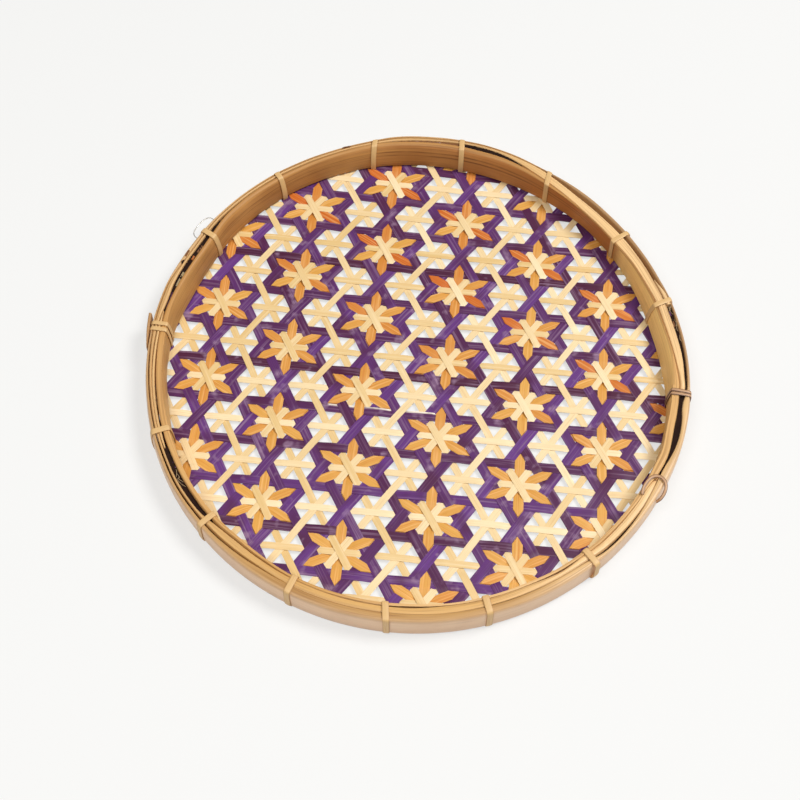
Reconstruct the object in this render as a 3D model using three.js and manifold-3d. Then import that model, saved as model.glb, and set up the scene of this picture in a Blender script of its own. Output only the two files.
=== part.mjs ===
// A round, shallow wall basket. A flat mat of split bamboo, woven in three directions with a star
// flower in every third opening, is held between two bent bamboo hoops by narrow rattan ties.
// Millimetres, +Z up. The origin is the middle of the underside, and +Y is the top of the
// basket when it hangs on a wall by its wire loop.

import * as THREE from "three";
import { mergeVertices } from "three/addons/utils/BufferGeometryUtils.js";
import Module from "manifold-3d";

const wasm = await Module();
wasm.setup();

// Rim: two upright hoops, a little oval because they are bent by hand
const RIM_ACROSS = 293.5;
const RIM_DEEP = 306.5;
const RIM_HEIGHT = 17.7;
const OUTER_HOOP_WALL = 3.6;
const OUTER_HOOP_CROWN = 1.4;
const INNER_HOOP_WALL = 4.4;
const INNER_HOOP_ROUNDING = 1.6;
const SPACE_AT_SIDES = 4.3;
const SPACE_AT_ENDS = 2.7;
const INNER_HOOP_SHIFT_X = 0.4;
const INNER_HOOP_SHIFT_Y = -1.15;
const RIM_FACETS = 60;

// Pieces squeezed into the space between the hoops
const FIT_GAP = 0.3;
const ENDS_BAND_WALL = 0.4;
const ENDS_BAND_TOP_DROP = 2.6;
const SLATS = [
  { name: "filler_slat_left", wall: 0.6, from: 140, to: 222, drop: 0.5 },
  { name: "filler_slat_right", wall: 1.5, from: -9, to: 21, drop: 0.3 },
];
const SLAT_FOOT = 2.0;

// Mat: the pitch is from one star to the next, and the weave is drawn together front to back
const MAT_LEVEL = 2.2;
const STAR_PITCH = 50.6;
const WEAVE_SQUEEZE = 0.95;
const WEAVE_TURN = THREE.MathUtils.degToRad(-6.5);
const STAR_X = 11.6;
const STAR_Y = -41.2;
const STRIP_WALL = 0.35;
const STRIP_GAP = 0.2;
const PURPLE_WIDTH = 5.2;
const CREAM_WIDTH = 3.7;
const ORANGE_WIDTH = 4.8;
const ORANGE_WAIST = 1.8;
const SHORTEST_STRIP = 60;

// Ties: split rattan bands over the rim, at angles round it from +X
const TIE_ANGLES = [14, 34, 57, 79, 99, 123, 145, 173, 199, 222, 245, 264, 284, 306, 327, 351];
const TIE_WIDTH = 3.4;
const TIE_WALL = 0.6;
const TIE_CLEARANCE = 0.4;

// Wire hanging loop, astride the tie at 145 degrees
const LOOP_WIRE = 0.7;
const LOOP_ANGLE = 144;
const LOOP_SPAN = 17;
const LOOP_REACH = 6.5;
const LOOP_LEVEL = 11.8;

// Where the rim's faces run: half sizes of each oval, and its middle
const grown = ({ x, y, middle }, by) => ({ x: x + by, y: y + by, middle });
const outerFace = { x: RIM_ACROSS / 2, y: RIM_DEEP / 2, middle: new THREE.Vector2() };
const outerHoopInside = grown(outerFace, -OUTER_HOOP_WALL);
const innerHoopOutside = {
  x: outerHoopInside.x - SPACE_AT_SIDES,
  y: outerHoopInside.y - SPACE_AT_ENDS,
  middle: new THREE.Vector2(INNER_HOOP_SHIFT_X, INNER_HOOP_SHIFT_Y),
};
const innerFace = grown(innerHoopOutside, -INNER_HOOP_WALL);

// Heights in the weave, from the middle of the mat
const STRIP_PITCH = STAR_PITCH / 2;
const ROOT3 = Math.sqrt(3);
const halfCrossing = STRIP_PITCH / ROOT3 / 2;
const layer = STRIP_WALL + STRIP_GAP;
const purpleLift = layer / 2 / (1 - (PURPLE_WIDTH * ROOT3) / 2 / halfCrossing);
const petalLevel = (purpleLift * ORANGE_WIDTH) / 2 / halfCrossing + layer;
const starLevel = petalLevel + layer;
const creamPass = purpleLift + layer;
const creamDip = creamPass + 1.2 * layer;
const creamCrest = creamPass + 1.25 * layer;
const orangePass = creamPass + layer;
const matTop = MAT_LEVEL + creamCrest + STRIP_WALL / 2;
const matUnderside = MAT_LEVEL - creamDip - STRIP_WALL / 2;

const bamboo = (colour, roughness) =>
  new THREE.MeshStandardMaterial({ color: colour, roughness, metalness: 0, flatShading: true });
const wire = () =>
  new THREE.MeshStandardMaterial({ color: "#b9b9b6", roughness: 0.35, metalness: 1 });

function toSolid(geometry) {
  const bare = geometry.clone();
  bare.deleteAttribute("normal");
  bare.deleteAttribute("uv");
  const merged = mergeVertices(bare, 1e-4);
  return new wasm.Manifold(new wasm.Mesh({
    numProp: 3,
    vertProperties: new Float32Array(merged.attributes.position.array),
    triVerts: new Uint32Array(merged.index.array),
  }));
}

function toGeometry(solid) {
  const { vertProperties, triVerts } = solid.getMesh();
  const geometry = new THREE.BufferGeometry();
  geometry.setAttribute("position", new THREE.BufferAttribute(vertProperties, 3));
  geometry.setIndex(new THREE.BufferAttribute(triVerts, 1));
  return geometry;
}

// A profile of [distance inside the oval, height] points, carried once round the oval
function ovalRing(profile, oval) {
  const mean = (oval.x + oval.y) / 2;
  const points = profile.map(([inside, height]) => new THREE.Vector2(mean - inside, height));
  points.push(points[0].clone());
  const ring = new THREE.LatheGeometry(points, RIM_FACETS);
  ring.rotateX(Math.PI / 2);
  ring.scale(oval.x / mean, oval.y / mean, 1);
  ring.translate(oval.middle.x, oval.middle.y, 0);
  return ring;
}

function outerHoop() {
  return ovalRing([
    [OUTER_HOOP_CROWN, 0],
    [0, 0.3 * RIM_HEIGHT],
    [0, 0.7 * RIM_HEIGHT],
    [OUTER_HOOP_CROWN, RIM_HEIGHT],
    [OUTER_HOOP_WALL, RIM_HEIGHT],
    [OUTER_HOOP_WALL, 0],
  ], outerFace);
}

function innerHoop() {
  const foot = matTop + FIT_GAP;
  const round = INNER_HOOP_ROUNDING;
  return ovalRing([
    [0, foot],
    [0, RIM_HEIGHT - round / 2],
    [round / 2, RIM_HEIGHT],
    [INNER_HOOP_WALL - round, RIM_HEIGHT],
    [INNER_HOOP_WALL, RIM_HEIGHT - round],
    [INNER_HOOP_WALL, foot],
  ], innerHoopOutside);
}

// The ends of all the strips turn up between the hoops and stand there as one thin band
function endsBand() {
  const face = grown(innerHoopOutside, FIT_GAP + ENDS_BAND_WALL);
  const top = RIM_HEIGHT - ENDS_BAND_TOP_DROP;
  return ovalRing([
    [0, matUnderside],
    [0, top],
    [ENDS_BAND_WALL, top],
    [ENDS_BAND_WALL, matUnderside],
  ], face);
}

class OvalArc extends THREE.Curve {
  constructor(oval, from, to) {
    super();
    this.oval = oval;
    this.from = THREE.MathUtils.degToRad(from);
    this.to = THREE.MathUtils.degToRad(to);
  }
  getPoint(t, target = new THREE.Vector3()) {
    const angle = THREE.MathUtils.lerp(this.from, this.to, t);
    const { x, y, middle } = this.oval;
    return target.set(x * Math.cos(angle) + middle.x, y * Math.sin(angle) + middle.y, 0);
  }
}

// A thin slat that lies against the inside of the outer hoop for part of the way round
function fillerSlat({ wall, from, to, drop }) {
  const height = RIM_HEIGHT - drop - SLAT_FOOT;
  const section = new THREE.Shape([
    new THREE.Vector2(-height / 2, -wall / 2),
    new THREE.Vector2(height / 2, -wall / 2),
    new THREE.Vector2(height / 2, wall / 2),
    new THREE.Vector2(-height / 2, wall / 2),
  ]);
  const middle = grown(outerHoopInside, -FIT_GAP - wall / 2);
  const steps = Math.round(((to - from) / 360) * RIM_FACETS);
  const path = new OvalArc(middle, from, to);
  const slat = new THREE.ExtrudeGeometry(section, { steps, extrudePath: path });
  slat.translate(0, 0, SLAT_FOOT + height / 2);
  return slat;
}

// A flat strip lofted through stations of [distance along, height, half width]
function strip(stations) {
  const corners = [];
  for (const [along, height, halfWidth] of stations) {
    for (const [side, up] of [[-1, -1], [1, -1], [1, 1], [-1, 1]]) {
      corners.push(along, side * halfWidth, height + (up * STRIP_WALL) / 2);
    }
  }
  const faces = [0, 2, 1, 0, 3, 2];
  for (let start = 0; start < corners.length / 3 - 4; start += 4) {
    for (let side = 0; side < 4; side += 1) {
      const a = start + side;
      const b = start + ((side + 1) % 4);
      faces.push(a, b, b + 4, a, b + 4, a + 4);
    }
  }
  const last = corners.length / 3 - 4;
  faces.push(last, last + 1, last + 2, last, last + 2, last + 3);
  const geometry = new THREE.BufferGeometry();
  geometry.setAttribute("position", new THREE.Float32BufferAttribute(corners, 3));
  geometry.setIndex(faces);
  return geometry;
}

// Strip directions in the weave's own frame, and the length that clears the mat's edge
const DIRECTIONS = { a: 0, b: -Math.PI / 3, c: Math.PI / 3 };
const REACH = Math.max(RIM_ACROSS, RIM_DEEP) / 2 + Math.hypot(STAR_X, STAR_Y) + STAR_PITCH;

// From the weave's frame to the basket's
function placeInMat(geometry, direction, offset) {
  geometry.translate(0, offset, 0);
  geometry.rotateZ(direction + WEAVE_TURN);
  geometry.scale(1, WEAVE_SQUEEZE, 1);
  geometry.translate(STAR_X, STAR_Y, MAT_LEVEL);
  return geometry;
}

// Everything inside the outer face of the inner hoop, where the strips turn up
function matOutline() {
  const disc = new THREE.CylinderGeometry(1, 1, RIM_HEIGHT, RIM_FACETS);
  disc.rotateX(Math.PI / 2);
  disc.scale(innerHoopOutside.x, innerHoopOutside.y, 1);
  disc.translate(innerHoopOutside.middle.x, innerHoopOutside.middle.y, MAT_LEVEL);
  return toSolid(disc);
}
const outline = matOutline();

// Whole numbers n for which start + n * pitch stays within the reach, with the value itself
function placesAlong(start, pitch) {
  const places = [];
  for (let n = Math.ceil((-REACH - start) / pitch); start + n * pitch <= REACH; n += 1) {
    places.push({ n, at: start + n * pitch });
  }
  return places;
}

// A purple strip goes over each strip that runs 60 degrees anticlockwise of it and under each
// one that runs 60 degrees clockwise, so that it zigzags from one crossing to the next
function purpleStrip(offset) {
  const stations = [];
  for (const { at } of placesAlong(STRIP_PITCH / 2, STRIP_PITCH)) {
    const along = (at - offset / 2) / (ROOT3 / 2);
    stations.push([along, -purpleLift, PURPLE_WIDTH / 2]);
    stations.push([-along, purpleLift, PURPLE_WIDTH / 2]);
  }
  return strip(stations.sort((p, q) => p[0] - q[0]));
}

// A cream strip lies on top at a star and dives under the first purple crossing on each side.
// It passes an opening, the crossing in the middle, and another opening on its way to the next
// star. Strips b and c go over the middle crossing, and strip a under it. In the openings, strip
// a is on top and strip b at the bottom.
const crossing = 2 * halfCrossing;
const opening = 2 * crossing;
const halfWay = 3 * crossing;
const passing = (PURPLE_WIDTH + CREAM_WIDTH / 2) / ROOT3 + STRIP_GAP;
const creamFromStar = (CREAM_WIDTH / 2) * ROOT3 + ORANGE_WIDTH;
const creamCourse = {
  a: [
    [creamFromStar, starLevel],
    [crossing - passing, -creamPass],
    [crossing + passing, -creamPass],
    [opening, creamPass + 1.1 * layer],
    [halfWay - passing, -creamPass],
  ],
  b: [
    [creamFromStar, starLevel],
    [crossing - passing, -creamPass - layer / 2],
    [opening + (CREAM_WIDTH / 2) * ROOT3, -1.75 * layer],
    [halfWay, creamCrest],
  ],
  c: [
    [creamFromStar, starLevel],
    [crossing - passing, -creamDip],
    [halfWay, creamPass + layer / 2],
  ],
};

function creamStrip(row, letter) {
  const stations = [];
  for (const { at } of placesAlong(row * halfWay, 2 * halfWay)) {
    for (const [distance, height] of creamCourse[letter]) {
      stations.push([at + distance, height, CREAM_WIDTH / 2]);
      if (distance < halfWay) stations.push([at - distance, height, CREAM_WIDTH / 2]);
    }
  }
  return strip(stations.sort((p, q) => p[0] - q[0]));
}

// An orange strip runs from star to star. It lies over the purple edges of each star, where it
// shows as two petals, and narrows to a waist where it dives under the crossing half way.
function orangeStrip(row) {
  const petalEnd = STRIP_PITCH / 2 + PURPLE_WIDTH / 2 + STRIP_GAP;
  const diveEnd = STRIP_PITCH - PURPLE_WIDTH - (ORANGE_WAIST / 2) * ROOT3;
  const stations = [];
  const start = row % 2 === 0 ? 0 : STAR_PITCH / 2;
  for (const { at } of placesAlong(start, STAR_PITCH)) {
    stations.push([at - diveEnd, -orangePass, ORANGE_WAIST / 2]);
    stations.push([at - petalEnd, petalLevel, ORANGE_WIDTH / 2]);
    stations.push([at + petalEnd, petalLevel, ORANGE_WIDTH / 2]);
    stations.push([at + diveEnd, -orangePass, ORANGE_WAIST / 2]);
  }
  return strip(stations);
}

function trimmed(geometry) {
  return toSolid(geometry).intersect(outline);
}

function longEnough(solid) {
  if (solid.isEmpty()) return false;
  const { min, max } = solid.boundingBox();
  return Math.hypot(max[0] - min[0], max[1] - min[1]) > SHORTEST_STRIP;
}

// Cream or orange strips, joined to one net where they cross at the stars
function joinedNet(strips) {
  const whole = wasm.Manifold.union(strips.map(toSolid));
  const bodies = trimmed(toGeometry(whole)).decompose();
  return bodies.sort((p, q) => q.volume() - p.volume())[0];
}

const basket = new THREE.Group();

function addPiece(name, geometry, material) {
  const piece = new THREE.Mesh(geometry, material);
  piece.name = name;
  basket.add(piece);
}

// Purple strips are numbered by their rows, and this many lie before the star at STAR_X, STAR_Y
const PURPLE_BEFORE_STAR = { a: 4, b: 5, c: 4 };

function addPurpleStrips() {
  for (const [letter, direction] of Object.entries(DIRECTIONS)) {
    for (const { n, at } of placesAlong(STRIP_PITCH / 2, STRIP_PITCH)) {
      const solid = trimmed(placeInMat(purpleStrip(at), direction, at));
      if (!longEnough(solid)) continue;
      const number = n + PURPLE_BEFORE_STAR[letter] + 1;
      const name = `purple_strip_${letter}${String(number).padStart(2, "0")}`;
      addPiece(name, toGeometry(solid), bamboo("#5b3180", 0.45));
    }
  }
}

// The cream strips of every third row meet at the same stars, so they make three nets
function addCreamStrips() {
  const nets = [[], [], []];
  for (const [letter, direction] of Object.entries(DIRECTIONS)) {
    for (const { n, at } of placesAlong(0, STRIP_PITCH)) {
      const net = THREE.MathUtils.euclideanModulo(letter === "a" ? n : -n, 3);
      nets[net].push(placeInMat(creamStrip(n, letter), direction, at));
    }
  }
  nets.forEach((strips, index) => {
    const geometry = toGeometry(joinedNet(strips));
    addPiece(`cream_strips_${index + 1}`, geometry, bamboo("#f3dfa0", 0.55));
  });
}

function addOrangeStrips() {
  const strips = [];
  for (const direction of Object.values(DIRECTIONS)) {
    for (const { n, at } of placesAlong(0, (STAR_PITCH * ROOT3) / 2)) {
      strips.push(placeInMat(orangeStrip(n), direction + Math.PI / 6, at));
    }
  }
  addPiece("orange_strips", toGeometry(joinedNet(strips)), bamboo("#ef9a3e", 0.5));
}

// The spot on the rim's outer face at an angle round it from +X, and the way square out of it
function seatOnRim(degrees) {
  const { x, y } = outerFace;
  const angle = THREE.MathUtils.degToRad(degrees);
  const turn = Math.atan2(x * Math.sin(angle), y * Math.cos(angle));
  const place = new THREE.Vector2(x * Math.cos(turn), y * Math.sin(turn));
  const outwards = new THREE.Vector2(Math.cos(turn) / x, Math.sin(turn) / y).normalize();
  return { place, outwards };
}

// How far it is from a seat, going square into the rim, to an oval
function depthOf({ x, y, middle }, { place, outwards }) {
  const start = new THREE.Vector2((place.x - middle.x) / x, (place.y - middle.y) / y);
  const step = new THREE.Vector2(outwards.x / x, outwards.y / y);
  const a = step.dot(step);
  const b = start.dot(step);
  return (b - Math.sqrt(b * b - a * (start.dot(start) - 1))) / a;
}

// From a seat's own frame, with +X outwards and the outer face at 0, to the basket's
function placeOnRim(geometry, { place, outwards }) {
  geometry.rotateZ(outwards.angle());
  geometry.translate(place.x, place.y, 0);
  return geometry;
}

// One side of a tie's bent shape, at a distance from the rim that it wraps
function tieSide(inside, distance) {
  const round = INNER_HOOP_ROUNDING;
  const ease = distance * Math.tan(Math.PI / 8);
  const shoulder = OUTER_HOOP_CROWN;
  return [
    [inside - distance, matTop + FIT_GAP],
    [inside - distance, RIM_HEIGHT - round + ease],
    [inside + round - ease, RIM_HEIGHT + distance],
    [-shoulder, RIM_HEIGHT + distance],
    [distance, RIM_HEIGHT - 2 * shoulder],
    [distance, 2 * shoulder],
    [distance - shoulder, FIT_GAP],
  ].map(([along, height]) => new THREE.Vector2(along, height));
}

// How deep a tie's inner side lies: it clears the middles of the inner hoop's flat facets, which
// lie on a slightly smaller oval, at both of its edges
function insideDepth(seat) {
  const share = Math.cos(Math.PI / RIM_FACETS);
  const facets = { x: innerFace.x * share, y: innerFace.y * share, middle: innerFace.middle };
  const along = new THREE.Vector2(-seat.outwards.y, seat.outwards.x).multiplyScalar(TIE_WIDTH / 2);
  const edges = [seat.place.clone().add(along), seat.place.clone().sub(along)];
  return Math.max(...edges.map((place) => depthOf(facets, { place, outwards: seat.outwards })));
}

function tie(degrees) {
  const seat = seatOnRim(degrees);
  const inside = -insideDepth(seat);
  const near = tieSide(inside, TIE_CLEARANCE);
  const far = tieSide(inside, TIE_CLEARANCE + TIE_WALL);
  const section = new THREE.Shape([...near, ...far.reverse()]);
  const band = new THREE.ExtrudeGeometry(section, { depth: TIE_WIDTH, bevelEnabled: false });
  band.translate(0, 0, -TIE_WIDTH / 2);
  band.rotateX(Math.PI / 2);
  return placeOnRim(band, seat);
}

// A wire bow with both ends against the outer hoop, on either side of a tie. The rim's curve
// falls away a little from the seat to the bow's ends.
function hangingLoop() {
  const rimRadius = (RIM_ACROSS + RIM_DEEP) / 4;
  const fall = (LOOP_SPAN / 2) ** 2 / (2 * rimRadius);
  const face = FIT_GAP + LOOP_WIRE / 2 - fall;
  const bow = new THREE.CubicBezierCurve3(
    new THREE.Vector3(face, -LOOP_SPAN / 2, 0),
    new THREE.Vector3(face + LOOP_REACH * 4 / 3, -LOOP_SPAN / 2, 0),
    new THREE.Vector3(face + LOOP_REACH * 4 / 3, LOOP_SPAN / 2, 0),
    new THREE.Vector3(face, LOOP_SPAN / 2, 0),
  );
  const section = new THREE.Shape().absarc(0, 0, LOOP_WIRE / 2, 0, 2 * Math.PI);
  const settings = { steps: 10, curveSegments: 4, extrudePath: bow };
  const loop = new THREE.ExtrudeGeometry(section, settings);
  loop.translate(0, 0, LOOP_LEVEL);
  return placeOnRim(loop, seatOnRim(LOOP_ANGLE));
}

addPiece("outer_hoop", outerHoop(), bamboo("#c9a36b", 0.5));
addPiece("inner_hoop", innerHoop(), bamboo("#c08f50", 0.5));
addPiece("strip_ends_band", endsBand(), bamboo("#3c2a3c", 0.7));
for (const slat of SLATS) addPiece(slat.name, fillerSlat(slat), bamboo("#e3c48b", 0.5));
addPurpleStrips();
addCreamStrips();
addOrangeStrips();
TIE_ANGLES.forEach((angle, index) => {
  addPiece(`tie_${String(index + 1).padStart(2, "0")}`, tie(angle), bamboo("#dcb878", 0.5));
});
addPiece("hanging_loop", hangingLoop(), wire());

export default basket;
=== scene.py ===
"""A round bamboo wall basket: a mat woven in a star flower pattern, held in a hoop rim.

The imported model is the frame, in metres, with +Z up out of the tray. Each operator makes one
kind of piece: the strips of the mat, the hoops, the slats between them, the ties, the wire loop
and the stage that they are shown on.
"""

import functools
import math
import random

import bpy
import numpy as np
from bpy.props import FloatProperty, FloatVectorProperty, IntProperty, PointerProperty
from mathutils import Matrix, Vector


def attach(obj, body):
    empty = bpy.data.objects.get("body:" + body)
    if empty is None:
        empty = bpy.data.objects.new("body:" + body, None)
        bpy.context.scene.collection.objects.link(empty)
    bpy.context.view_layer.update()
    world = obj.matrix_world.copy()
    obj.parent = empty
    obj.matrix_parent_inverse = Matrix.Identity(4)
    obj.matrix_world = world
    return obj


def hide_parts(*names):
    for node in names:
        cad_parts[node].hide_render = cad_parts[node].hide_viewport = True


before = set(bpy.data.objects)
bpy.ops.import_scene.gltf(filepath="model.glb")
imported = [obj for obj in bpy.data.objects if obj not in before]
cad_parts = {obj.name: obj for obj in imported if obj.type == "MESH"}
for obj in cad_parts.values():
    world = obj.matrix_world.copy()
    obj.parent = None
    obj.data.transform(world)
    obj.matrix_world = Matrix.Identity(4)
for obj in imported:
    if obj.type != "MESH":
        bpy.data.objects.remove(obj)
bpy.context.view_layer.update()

bl_info = {
    "name": "Star Weave Basket",
    "version": (1, 0, 0),
    "blender": (4, 5, 0),
    "location": "View3D > Sidebar > Basket",
    "description": "Makes a round bamboo basket with a star flower mat and a hoop rim",
    "category": "Add Mesh",
}

MM = 0.001
ROOT3 = math.sqrt(3)

# Rim and mat, in millimetres, as the solids have them
RIM_ACROSS = 293.5
RIM_DEEP = 306.5
RIM_TOP = 17.7
MAT_LEVEL = 2.2
STAR_PITCH = 50.6
STRIP_PITCH = STAR_PITCH / 2
CROSSING = STRIP_PITCH / ROOT3
OPENING = 2 * CROSSING
MIDDLE = 3 * CROSSING
SQUEEZE = np.array([1.0, 0.95])
WEAVE_TURN = math.radians(-6.5)
STAR_PLACE = np.array([11.6, -41.2])
DIRECTIONS = {"a": 0.0, "b": -math.pi / 3, "c": math.pi / 3}
REACH = 250.0
SHORTEST_STRIP = 34.0

# The hand-laid strips drift off the even lattice: the drift in millimetres at (x, y) is a sum of
# 1, u, v, u2, uv, v2, u3, u2v, uv2 and v3 with u and v in decimetres, and is held beyond DRIFT_REACH
DRIFT_ACROSS = np.array([-0.08, 1.35, 0.45, -0.29, -1.29, 0.99, -2.6, -1.19, 1.12, -1.08])
DRIFT_DEEP = np.array([-0.48, -0.61, -1.5, 0.18, -1.54, -0.93, 0.38, 0.66, -1.28, 0.56])
DRIFT_REACH = 118.0

# A purple strip's number in its node's name is its row from the star, plus this and one
PURPLE_BEFORE_STAR = {"a": 4, "b": 5, "c": 4}

# The slats of the rim are bent by hand, so their edges wander. Every edge is given by widths in
# millimetres at degrees round the rim from +X, counted inwards from the outer face. Their corners
# are softened over these degrees to both sides.
CORNER_SOFTNESS = 1.6


def around(*points):
    """A value that changes round the rim, from (degrees, value) points, with soft corners."""
    degrees, values = np.array(points, float).T
    shifts = np.linspace(-CORNER_SOFTNESS, CORNER_SOFTNESS, 7)

    def value(at):
        """The value at these degrees."""
        return np.mean([np.interp(at + shift, degrees, values, period=360) for shift in shifts], axis=0)

    return value


OUTER_EDGE = around(
    (-60, 0), (-45, -0.3), (-33, -0.8), (-22, -1.8), (-12, -1.6), (-6, -0.9), (0, -0.4), (10, 0.7),
    (20, 2.1), (30, 2.6), (42, 2.9), (50, 2.7), (57, 3.2), (62, 3.1), (68, 1.8), (75, 1.1), (90, 0.6),
    (95, 0.9), (101, 2.3), (110, 2.9), (130, 2.4), (150, 1.7), (160, 1.0), (190, 1.3), (200, 0.6),
    (210, 0),
)
OUTER_WIDTH = around(
    (-60, 4.3), (-55, 3.7), (-51, 1.8), (-46, 1.6), (-40, 2.4), (-33, 3.8), (-28, 4.5), (-25, 3.6),
    (-22, 3.0), (-19, 2.7), (-15, 3.3), (-12, 4.6), (-8, 1.7), (10, 1.9), (15, 1.1), (20, 1.9), (34, 2.4),
    (50, 2.4), (55, 1.5), (60, 0.8), (75, 0.7), (85, 1.2), (100, 0.6), (130, 0.9), (140, 1.2), (150, 2.4),
    (155, 2.1), (160, 0.9), (172, 1.2), (190, 1.4), (205, 2.0), (213, 1.9), (225, 2.6), (238, 4.5),
    (262, 4.4), (284, 4.1),
)
FIRST_GAP = around(
    (-55, 0.1), (-52, 0.8), (-46, 1.1), (-40, 0.5), (-37, 0.1), (-10, 0.1), (-6, 1.3), (0, 1.2), (5, 1.8),
    (10, 2.1), (15, 2.5), (20, 1.9), (34, 1.8), (45, 2.4), (50, 2.3), (55, 1.4), (60, 0.1), (150, 0.15),
    (175, 0.2), (180, 0.5), (198, 0.4), (203, 0.7), (220, 0.9), (230, 0.7), (236, 0.4), (242, 0.06),
    (278, 0.05), (284, 0.25), (292, 0.2), (298, 0.06),
)
LINING_WIDTH = around(
    (-60, 1.8), (-55, 3.3), (-50, 3.7), (-40, 3.7), (-34, 3.1), (-29, 0.6), (-12, 0.6), (-9, 3.2),
    (-6, 2.7), (0, 4.4), (10, 4.9), (27, 5.2), (34, 6.2), (40, 5.6), (45, 5.4), (50, 4.6), (60, 5.0),
    (65, 3.3), (70, 1.7), (79, 1.4), (92, 2.0), (100, 1.3), (138, 1.4), (145, 1.6), (155, 1.6),
    (160, 2.8), (165, 3.3), (169, 2.3), (180, 1.5), (198, 1.6), (203, 1.2), (220, 1.4), (225, 3.7),
    (230, 4.2), (238, 3.5), (262, 3.4), (268, 3.1), (275, 3.8), (293, 3.4),
)
LINING_DROP = around(
    (-32, 0.15), (-28, 6), (-10.5, 6), (-8, 0.15), (57, 0.0), (100, 0.5), (140, 0.2), (240, 0.1),
)
SECOND_GAP = around(
    (-60, 0.9), (-55, 0.12), (-29, 0.12), (-26, 0.2), (-23, 1.4), (-20, 2.7), (-17, 2.9), (-13, 1.5),
    (-11, 0.5), (-8, 0.2), (0, 0.15), (8, 0.35), (33, 0.35), (36, 0.12), (57, 0.12), (62, 0.2), (65, 1.0),
    (70, 2.3), (75, 2.9), (79, 2.3), (85, 1.4), (92, 1.0), (100, 0.3), (122, 0.6), (132, 0.5), (138, 0.8),
    (145, 2.4), (155, 2.9), (160, 2.5), (165, 0.8), (170, 1.5), (180, 2.1), (198, 2.1), (205, 2.6),
    (213, 2.8), (220, 2.4), (225, 0.5), (238, 0.4), (245, 0.12), (262, 0.2), (268, 1.0), (275, 0.2),
    (284, 0.12), (293, 0.15),
)
INNER_WIDTH = around(
    (-60, 1.5), (-46, 1.9), (-33, 2.3), (-28, 4.1), (-22, 3.8), (-9, 3.8), (-6, 3.3), (0, 0.9), (20, 0.6),
    (34, 0.45), (45, 0.45), (50, 1.0), (55, 1.7), (62, 2.2), (70, 2.6), (90, 2.2), (165, 2.2), (174, 3.4),
    (198, 3.2), (213, 2.7), (225, 2.4), (238, 1.4), (262, 1.6), (275, 1.1),
)
INNER_FOOT = around(
    (-60, 9.5), (-20, 8.8), (-10, 9.6), (0, 12.3), (10, 14.2), (20, 14.2), (30, 13.7), (45, 12.8),
    (60, 13.2), (75, 12.8), (90, 11.6), (100, 10.8), (120, 10.8), (140, 12.0), (150, 13.7), (160, 13.3),
    (170, 10.9), (180, 10.7), (190, 11.6), (200, 11.0), (210, 9.8), (245, 10.1), (260, 10.2), (270, 9.8),
)

# How deep the grooves between the slats' tops are, from 0 to 1
GROOVE = around(
    (-66, 0.25), (-56, 0.4), (-50, 1), (-42, 1), (-38, 0.4), (-30, 0.4), (-26, 1), (238, 1), (246, 0.35),
    (262, 0.25), (278, 0.25),
)

# How far the outer face stands out below its top edge, and the least wall of the inner hoop's foot
BULGE = 0.6
FOOT_WALL = 1.4

# The inner hoop's rounded shoulder: shares of the way to its foot, and drops below the rim's top
SHOULDER = ((0.0, 0.35), (0.16, 1.0), (0.38, 2.4), (0.62, 4.6), (0.85, 7.6), (1.0, 11.5))


class Edges:
    """Where the faces of the rim's three slats run at these angles, in depths from the outer face."""

    def __init__(self, degrees):
        self.outer = OUTER_EDGE(degrees)
        self.belly = np.maximum(self.outer - BULGE, np.minimum(self.outer, 0))
        self.outer_back = self.outer + OUTER_WIDTH(degrees)
        self.lining = self.outer_back + FIRST_GAP(degrees)
        self.lining_back = self.lining + LINING_WIDTH(degrees)
        self.inner = self.lining_back + SECOND_GAP(degrees)
        self.inner_top = self.inner + INNER_WIDTH(degrees)
        self.inner_foot = INNER_FOOT(degrees)
        self.inner_back = np.minimum(self.inner, self.inner_foot - FOOT_WALL)


# The inner hoop's back all round the rim, for the strips that turn up behind it
ALL_ROUND = np.arange(-180, 180.25, 0.25)
INNER_BACK = Edges(ALL_ROUND).inner_back


def outer_reach(angle):
    """Distance from the middle to the rim's outer face at these angles in radians."""
    return 1 / np.hypot(np.cos(angle) / (RIM_ACROSS / 2), np.sin(angle) / (RIM_DEEP / 2))


def on_rim(degrees, depth, height):
    """Points at this angle, this far inside the outer face, at this height."""
    angle = np.radians(degrees)
    reach = outer_reach(angle) - depth
    return np.stack([reach * np.cos(angle), reach * np.sin(angle), height + 0 * reach], -1)


# How pale and how worn the cut faces of each slat are round the rim, from 0 to 1
OUTER_PALE = around(
    (-60, 0.5), (-30, 0.6), (-8, 0.6), (0, 0.1), (57, 0.1), (64, 0.5), (95, 0.5), (150, 0.5), (165, 0.3),
    (200, 0.3), (215, 0.2), (240, 0), (290, 0),
)
OUTER_WORN = around(
    (-10, 0), (0, 0.7), (57, 0.6), (64, 0.1), (150, 0.1), (168, 0.3), (200, 0.3), (215, 0.1), (230, 0),
)
LINING_PALE = around(
    (-60, 0.8), (-40, 0.95), (-20, 0.8), (0, 0.8), (50, 0.8), (60, 0.5), (90, 0.4), (140, 0.4),
    (165, 0.4), (205, 0.4), (240, 0), (285, 0.1), (292, 0.4),
)
LINING_WORN = around(
    (-60, 0), (60, 0), (90, 0.2), (160, 0.2), (175, 0.3), (210, 0.3), (240, 0.1), (290, 0),
)
INNER_PALE = around(
    (-60, 0.5), (-20, 0.4), (0, 0.3), (33, 0.3), (60, 0), (165, 0), (180, 0.3), (230, 0.2), (250, 0.1),
    (272, 0.6), (290, 0.7),
)
INNER_WORN = around((0, 0), (33, 0.3), (60, 0.9), (150, 0.9), (165, 0.6), (180, 0.4), (200, 0), (270, 0))

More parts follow.
